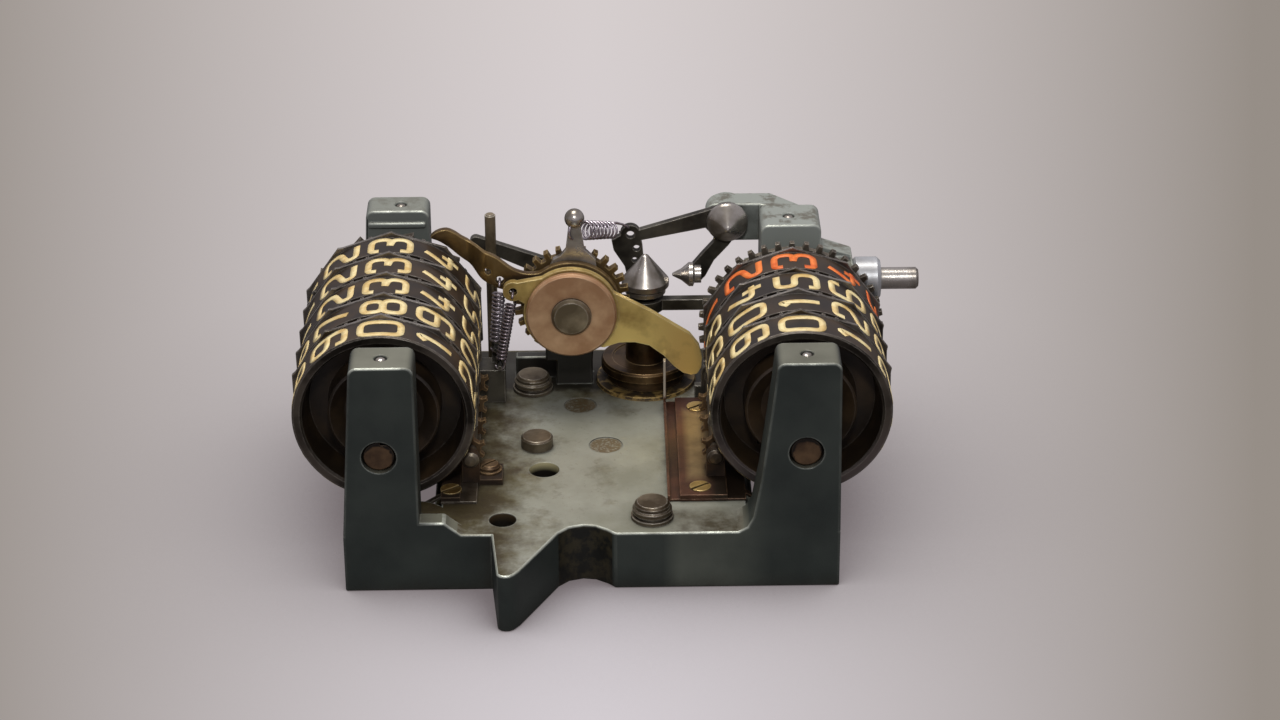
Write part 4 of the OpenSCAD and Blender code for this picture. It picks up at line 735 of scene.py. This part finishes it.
# %% Rear lever drawn flat
PIVOT = (-3.0, 23.7)
LEVER_FRONT, LEVER_BACK, LEVER_THICK = 11.8, 16.65, 1.1
BEND_START, BEND_END, BEND_CUTS = -11.9, -15.3, 16
LEVER_TOP = [(-4.2, 5.82), (-4.9, 5.55), (-6.2, 5.5), (-7.5, 5.8), (-8.7, 6.4), (-9.8, 7.3), (-10.9, 8.2),
             (-12.1, 8.75), (-13.3, 8.75), (-14.6, 8.55), (-15.8, 9.1), (-16.9, 9.9), (-17.9, 10.38)]
LEVER_TIP = [(-18.8, 10.36), (-19.7, 10.0), (-20.35, 9.45), (-20.3, 9.12), (-19.4, 8.75)]
LEVER_UNDER = [(-18.5, 8.2), (-17.5, 7.4), (-16.5, 6.45), (-15.4, 5.55), (-14.4, 4.95), (-13.8, 4.55),
               (-13.2, 4.3), (-12.2, 4.2), (-11.4, 3.85), (-10.8, 3.4), (-9.6, 3.0), (-8.2, 2.6),
               (-7.09, 1.23)]
LEVER_HOLES = [((0, 0), 2.95, 48), ((-10.35, 4.6), 0.6, 28), ((-12.05, 5.95), 0.5, 28)]


def ease(t):
    t = min(1.0, max(0.0, t))
    return t * t * (3 - 2 * t)


def flowing(points, steps=4):
    """A smooth line through the points."""
    path = []
    padded = [Vector(point) for point in [points[0]] + points + [points[-1]]]
    for a, b, c, d in zip(padded, padded[1:], padded[2:], padded[3:]):
        for k in range(steps):
            t = k / steps
            path.append(0.5 * (2 * b + (c - a) * t + (2 * a - 5 * b + 4 * c - d) * t ** 2
                               + (3 * b - a - 3 * c + d) * t ** 3))
    return path + [padded[-1]]


def circle_line(centre, radius, steps, first=0, last=360):
    angles = [math.radians(first + (last - first) * k / steps) for k in range(steps)]
    return [Vector((centre[0] + radius * math.cos(a), centre[1] + radius * math.sin(a))) for a in angles]


def lever_strip():
    hub = circle_line((0, 0), 7.2, 60, 171, 484)
    outline = flowing(LEVER_TOP + LEVER_TIP + LEVER_UNDER) + hub[1:]
    loops = [(outline, True)] + [(circle_line(*hole), True) for hole in LEVER_HOLES]
    return mesh_from_curve(curve_object("rear_lever_strip", loops, dimensions="2D", fill_mode="BOTH",
                                        extrude=LEVER_THICK / 2))


print("lever outline has", len(LEVER_TOP + LEVER_TIP + LEVER_UNDER), "drawn points")

# %% [markdown]
# The flat strip is cleaned and its rims are bevelled before it is bent, because flat faces meet at
# clear angles. After the cuts, each point goes back by a share that eases in and out over the bend.

# %% Rear lever bent
def bent_lever():
    flat = lever_strip()
    build = bmesh.new()
    build.from_mesh(flat)
    bpy.data.meshes.remove(flat)
    bmesh.ops.remove_doubles(build, verts=build.verts, dist=1e-5)
    bmesh.ops.dissolve_limit(build, angle_limit=math.radians(0.5), verts=build.verts, edges=build.edges)
    rims = [edge for edge in build.edges if edge.is_manifold and edge.calc_face_angle() > math.radians(60)]
    bmesh.ops.bevel(build, geom=rims, offset=0.12, offset_type="OFFSET", segments=2, profile=0.5,
                    affect="EDGES", clamp_overlap=True, material=-1)
    for k in range(BEND_CUTS + 1):
        where = BEND_START + (BEND_END - BEND_START) * k / BEND_CUTS
        bmesh.ops.bisect_plane(build, geom=everything(build), plane_co=(where, 0, 0), plane_no=(1, 0, 0))
        sort_parts(build)
    for vert in build.verts:
        x, z, depth = vert.co
        back = (LEVER_BACK - LEVER_FRONT) * ease((x - BEND_START) / (BEND_END - BEND_START))
        vert.co = Vector((PIVOT[0] + x, LEVER_FRONT + back + depth + LEVER_THICK / 2, PIVOT[1] + z)) * MM
    bmesh.ops.recalc_face_normals(build, faces=build.faces)
    piece = make_piece("bent_rear_lever", build, OLD_BRASS, crease=40)
    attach(piece, "rear_lever")
    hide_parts("rear_lever")
    print("bent lever", len(piece.data.polygons), "faces")


bent_lever()

# %% [markdown]
# Each spring is one wire. A small ring is spun round the axis with a little climb at every step, which
# makes the coil; its last ring is then spun about a cross axis to make the hook. The hook is drawn in to
# the middle afterwards. A hook and the straight lead into it are given as lengths along the axis.

# %% Spring wire
WIRE = 0.19
COIL_STEPS, HOOK_STEPS, HOOK_TURN = 20, 22, math.radians(262)


def add_hook(build, geom, level, way, hook, lead, twist, radius):
    """Grow a hook from the end ring of a coil, upwards or downwards."""
    before = set(build.verts)
    tip = bmesh.ops.spin(build, geom=geom, cent=(radius, 0, level + way * hook), axis=(1, 0, 0),
                         angle=HOOK_TURN, steps=HOOK_STEPS, use_duplicate=False)["geom_last"]
    bmesh.ops.contextual_create(build, geom=only_edges(tip))
    for vert in set(build.verts) - before:
        draw = ease(way * (vert.co.z - level) / hook)
        vert.co.x -= radius * draw
        vert.co.z += way * lead * draw
        vert.co = Matrix.Rotation(math.radians(twist) * draw, 3, "Z") @ vert.co


def axes_along(start, end, cross):
    """The placing that turns +Z from start towards end."""
    axis = (end - start).normalized()
    side = Vector(cross).cross(axis).normalized()
    return Matrix.Translation(start) @ Matrix((side, axis.cross(side), axis)).transposed().to_4x4()


def spring_mesh(start, end, cross, coil_r, turns, hooks, leads, twists, end_r=None):
    """A coil with a hook at both ends, between two hook centres. Lengths are in mm."""
    build = bmesh.new()
    end_r = end_r or coil_r
    low, high = hooks[0] + leads[0], (end - start).length - hooks[1] - leads[1]
    ring = bmesh.ops.create_circle(build, cap_ends=False, segments=8, radius=WIRE)["verts"]
    bmesh.ops.rotate(build, verts=ring, cent=(0, 0, 0), matrix=Matrix.Rotation(math.radians(90), 3, "X"))
    bmesh.ops.translate(build, verts=ring, vec=(coil_r, 0, low))
    first = list(ring) + list(dict.fromkeys(edge for vert in ring for edge in vert.link_edges))
    count = turns * COIL_STEPS
    climb = (0, 0, (high - low) / count)
    last = bmesh.ops.spin(build, geom=first, cent=(0, 0, 0), axis=(0, 0, 1), dvec=climb,
                          angle=math.tau * turns, steps=count, use_duplicate=False)["geom_last"]
    for vert in build.verts:
        shrink = 1 + (end_r / coil_r - 1) * ease((vert.co.z - low) / (high - low))
        vert.co.x, vert.co.y = vert.co.x * shrink, vert.co.y * shrink
    add_hook(build, first, low, -1, hooks[0], leads[0], twists[0], coil_r)
    add_hook(build, last, high, 1, hooks[1], leads[1], twists[1], end_r)
    build.transform(Matrix.Scale(MM, 4) @ axes_along(start, end, cross))
    bmesh.ops.recalc_face_normals(build, faces=build.faces)
    for face in build.faces:
        face.smooth = True
    sort_parts(build)
    return build


print("wire", WIRE * 2, "mm thick")

# %% [markdown]
# Moving parts pull the springs. The one that joins two moving arms is cut in the middle into two halves.

# %% Springs
EYE_GAP = 1.05


def spring_piece(name, build, node):
    piece = make_piece(name, build, SPRING)
    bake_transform(piece)
    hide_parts(node)
    print(name, len(piece.data.polygons), "faces")


def lever_spring(name, peg, eye, coil_r, turns):
    axis = (Vector(eye) - Vector(peg)).normalized()
    hold = Vector(eye) - axis * EYE_GAP
    build = spring_mesh(Vector(peg), hold, (0, 1, 0), coil_r, turns, hooks=(0.62, 0.95), leads=(0.35, 0.2),
                        twists=(90, 0))
    spring_piece(f"smooth_{name}", build, name)


lever_spring("front_spring", (-13.6, 10.65, 15.0), (-11.4, 10.65, 27.2), 0.65, 16)
lever_spring("rear_spring", (-14.25, 12.35, 17.05), (-13.35, 12.35, 28.3), 0.8, 12)
NECK, CRANK_EYE = Vector((-2.38, 13.45, 35.4)), Vector((5.8, 22.95, 30.4))
radial = Vector((CRANK_EYE.x - NECK.x, 0, CRANK_EYE.z - NECK.z)).normalized()
hold = CRANK_EYE - EYE_GAP * radial
middle = (NECK + hold) / 2
for half, bodies, start, end, keep in (("left", ("ball_arm", "frame"), NECK, middle, "clear_outer"),
                                       ("right", ("frame", "bell_crank"), middle, hold, "clear_inner")):
    build = spring_mesh(NECK, hold, (0, 0, 1), 1.3, 8, hooks=(1.3, 0.95), leads=(0.9, 2.2), twists=(0, 60),
                        end_r=1.15)
    cut = bmesh.ops.bisect_plane(build, geom=everything(build), plane_co=middle * MM,
                                 plane_no=(hold - NECK), **{keep: True})["geom_cut"]
    bmesh.ops.edgeloop_fill(build, edges=only_edges(cut))
    sort_parts(build)
    spring_piece(f"link_spring_{half}", build, "link_spring")

# %% [markdown]
# The figures are printed on the wheels in a squared, open style: even strokes, rounded corners. Each is
# drawn as one or two centre lines in a box, swept with a flat section, made a mesh, and then wrapped
# round the band, so that the strokes keep an even thickness on the curved surface.

# %% Figures as centre lines
FIGURE_W, FIGURE_H, STROKE = 3.65, 5.7, 1.0
CORNER_R, PAINT_DEPTH = 1.25, 0.09


def figure_lines(figure):
    w, h = FIGURE_W, FIGURE_H
    m = h * 0.5
    return {
        0: [([(0, m), (0, h), (w, h), (w, 0), (0, 0)], True)],
        1: [([(0.55 * w - 1.1, h - 1.3), (0.55 * w, h), (0.55 * w, 0)], False)],
        2: [([(0, h - 1.4), (0, h), (w, h), (w, m + 0.1), (0, 1.5), (0, 0), (w, 0)], False)],
        3: [([(0, h - 1.2), (0, h), (w, h), (w, m + 0.1), (w - 2.0, m + 0.1)], False),
            ([(w - 2.0, m + 0.1), (w, m - 0.3), (w, 0), (0, 0), (0, 1.4)], False)],
        4: [([(w * 0.5, h), (0, 1.5), (w, 1.5)], False), ([(w * 0.72, 3.0), (w * 0.72, 0)], False)],
        5: [([(w, h), (0.1, h), (0.1, m + 0.3), (w, m + 0.3), (w, 0), (0, 0), (0, 1.2)], False)],
        6: [([(w, h - 1.3), (w, h), (0, h), (0, 0), (w, 0), (w, m), (0, m)], False)],
        7: [([(0, h - 1.2), (0, h), (w, h), (w * 0.4, 0)], False)],
        8: [([(0.2, m + 0.1), (0.2, h), (w - 0.2, h), (w - 0.2, m + 0.1)], True),
            ([(0, m), (w, m), (w, 0), (0, 0)], True)],
        9: [([(0, 1.3), (0, 0), (w, 0), (w, h), (0, h), (0, m), (w, m)], False)],
    }[figure]


def fine_steps(path, closed, longest=0.45):
    """The same line with extra points, so that it can follow a curved surface."""
    result = []
    ends = list(zip(path, path[1:] + path[:1])) if closed else list(zip(path, path[1:]))
    for start, end in ends:
        parts = max(1, math.ceil((end - start).length / longest))
        result += [start.lerp(end, k / parts) for k in range(parts)]
    return result if closed else result + [path[-1]]


def rounded(points, closed, radius, steps=4):
    """The same line with each corner replaced by a short bend."""
    count = len(points)
    path = []
    for i, point in enumerate(points):
        here = Vector(point)
        if not closed and i in (0, count - 1):
            path.append(here)
            continue
        before, after = Vector(points[i - 1]) - here, Vector(points[(i + 1) % count]) - here
        cut = min(radius, before.length * 0.49, after.length * 0.49)
        start, end = here + before.normalized() * cut, here + after.normalized() * cut
        for k in range(steps + 1):
            t = k / steps
            path.append(start * (1 - t) ** 2 + here * 2 * t * (1 - t) + end * t ** 2)
    return path


def figure_mesh(figure, section):
    lines = [(fine_steps(rounded(points, closed, CORNER_R), closed), closed)
             for points, closed in figure_lines(figure)]
    return mesh_from_curve(curve_object(f"figure_{figure}", lines, dimensions="3D", twist_mode="Z_UP",
                                        bevel_mode="OBJECT", bevel_object=section, use_fill_caps=True))


# The cross-section that is swept along every stroke
corners = [(-STROKE / 2, 0), (STROKE / 2, 0), (STROKE / 2, PAINT_DEPTH), (-STROKE / 2, PAINT_DEPTH)]
section = curve_object("stroke_section", [(corners, True)], dimensions="2D")
FIGURES = {figure: figure_mesh(figure, section) for figure in range(10)}
print("figures", {figure: len(mesh.polygons) for figure, mesh in FIGURES.items()})

# %% [markdown]
# Paint on an old wheel is not one flat cream: it yellows in patches and rubs thin. The lowest wheel of
# the right bank counts tenths and is painted orange, so that it isn't mistaken for the others.

# %% Paint for the figures
def figure_paint(name, fresh, aged):
    material, tree, shader = start_material(name)
    broad = use(tree, GRAIN, 1, Scale=4200.0)
    fine = use(tree, GRAIN, 0, Scale=4200.0)
    tone = blend_colour(tree, remap(tree, broad, 0.38, 0.66), fresh, aged)
    chips = remap(tree, fine, 0.64, 0.70)
    tone = blend_colour(tree, calc(tree, "MULTIPLY", chips, 0.8), tone, rgb(80, 62, 42))
    finish_surface(tree, shader, tone, 0.48, 0.0, fine, 0.00005, 0.2)
    return material


CREAM = figure_paint("cream_paint", rgb(246, 228, 172), rgb(214, 180, 112))
ORANGE = figure_paint("orange_paint", rgb(250, 138, 64), rgb(222, 96, 34))
print("paints", CREAM.name, ORANGE.name)

# %% [markdown]
# Wrapping turns the height of a figure into an angle round the axle, and its thickness into a radius.
# The ten figures of a wheel are a tenth of a turn apart, and `top` says which one is uppermost. The
# paint reaches a little into the band, so that no gap shows under it.

# %% Wrap the figures round the wheels
PITCH, BANK_Y, FIGURE_Y = 6.68, -16.6, 0.75
SINK = 0.04


def wheel_figures(side, index, top, paint):
    build = bmesh.new()
    axle_x = AXLE_X * (-1 if side == "left" else 1)
    start_y = BANK_Y + PITCH * (index - 1) + FIGURE_Y
    for figure in range(10):
        turn = (top - figure) * math.radians(36)
        first = len(build.verts)
        build.from_mesh(FIGURES[figure])
        build.verts.ensure_lookup_table()
        for vert in build.verts[first:]:
            angle = turn + (vert.co.y - FIGURE_H / 2) / BAND_R
            radius = BAND_R - SINK + vert.co.z
            vert.co = Vector((axle_x - radius * math.sin(angle), start_y + vert.co.x,
                              AXLE_Z + radius * math.cos(angle))) * MM
    bmesh.ops.recalc_face_normals(build, faces=build.faces)
    piece = make_piece(f"{side}_figures_{index}", build, paint)
    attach(piece, f"{side}_wheel_{index}")
    print(piece.name, "shows", top)


for index, top in enumerate((0, 8, 3, 3, 3), 1):
    wheel_figures("left", index, top, CREAM)
for index, top in enumerate((0, 1, 5, 3), 1):
    wheel_figures("right", index, top, ORANGE if index == 4 else CREAM)
for mesh in FIGURES.values():
    bpy.data.meshes.remove(mesh)
bpy.data.objects.remove(section)

# %% [markdown]
# The stage is a plain pale sheet, a little lilac, wide enough to fill the view. It gives off its own
# light towards the camera, so its tone is painted rather than lit: painted light falls off to the sides, and
# a painted shadow darkens it where the machine stands. How far aside a point is seen is its X divided by its
# depth in the view.
# Other rays meet a dull grey sheet.

# %% Stage
VIEW_SLOPE, VIEW_DEPTH, VIEW_EDGE = 0.889, 0.473, 0.205


def stage_finish():
    material, tree, shader = start_material("stage_lilac_grey")
    _, x, y, _ = surface_point(tree)
    depth = calc(tree, "MULTIPLY_ADD", y, VIEW_SLOPE, VIEW_DEPTH)
    aside = calc(tree, "DIVIDE", calc(tree, "ABSOLUTE", x), calc(tree, "MAXIMUM", depth, 0.2))
    # Painted light that falls off towards the sides of the view.
    light_falloff = calc(tree, "POWER", remap(tree, aside, 0.0, VIEW_EDGE), 1.35)
    high = blend_colour(tree, remap(tree, y, -0.15, 0.3), rgb(212, 206, 212), rgb(214, 206, 204))
    tone = blend_colour(tree, light_falloff, high, rgb(150, 142, 135))
    # A painted shadow where the machine stands close to the sheet.
    contact_shade = add(tree, "ShaderNodeAmbientOcclusion", _out=1, _props={"samples": 16}, Distance=0.05)
    tone = blend_colour(tree, remap(tree, contact_shade, 0.35, 0.97), rgb(112, 104, 106), tone)
    glow = add(tree, "ShaderNodeEmission", Color=tone)
    feed(shader.inputs["Base Color"], rgb(96, 92, 92))
    feed(shader.inputs["Roughness"], 0.95)
    seen = add(tree, "ShaderNodeLightPath")
    mix = add(tree, "ShaderNodeMixShader", i0=seen, i1=shader.outputs[0], i2=glow)
    feed(tree.nodes["Material Output"].inputs["Surface"], mix)
    return material


build = bmesh.new()
bmesh.ops.create_grid(build, x_segments=1, y_segments=1, size=4.0)
sheet = make_piece("stage_sheet", build, stage_finish())
print("stage", [round(v, 2) for v in sheet.dimensions])

# %% [markdown]
# A broad lamp overhead and slightly behind makes the bright upper faces and the streaks on the cones; a
# weak one in front keeps the front of the casting readable, and a pale world fills the reflections.

# %% Light
AIM = Vector((0, 0, 0.02))


def area_lamp(name, place, size, power, tint):
    data = bpy.data.lights.new(name, "AREA")
    data.shape = "DISK"
    data.size = size
    data.energy = power
    data.color = tint
    lamp = in_scene(bpy.data.objects.new(name, data))
    lamp.location = place
    lamp.rotation_euler = (AIM - Vector(place)).to_track_quat("-Z", "Y").to_euler()


area_lamp("lamp_over", (-0.04, 0.10, 0.50), 0.20, 1.5, (1.0, 0.97, 0.93))
area_lamp("lamp_front", (0.01, -0.40, 0.40), 0.07, 0.9, (0.98, 0.99, 1.0))
world = bpy.data.worlds.new("studio")
world.use_nodes = True
background = world.node_tree.nodes["Background"]
background.inputs["Color"].default_value = rgb(208, 204, 212)
background.inputs["Strength"].default_value = 0.6
bpy.context.scene.world = world
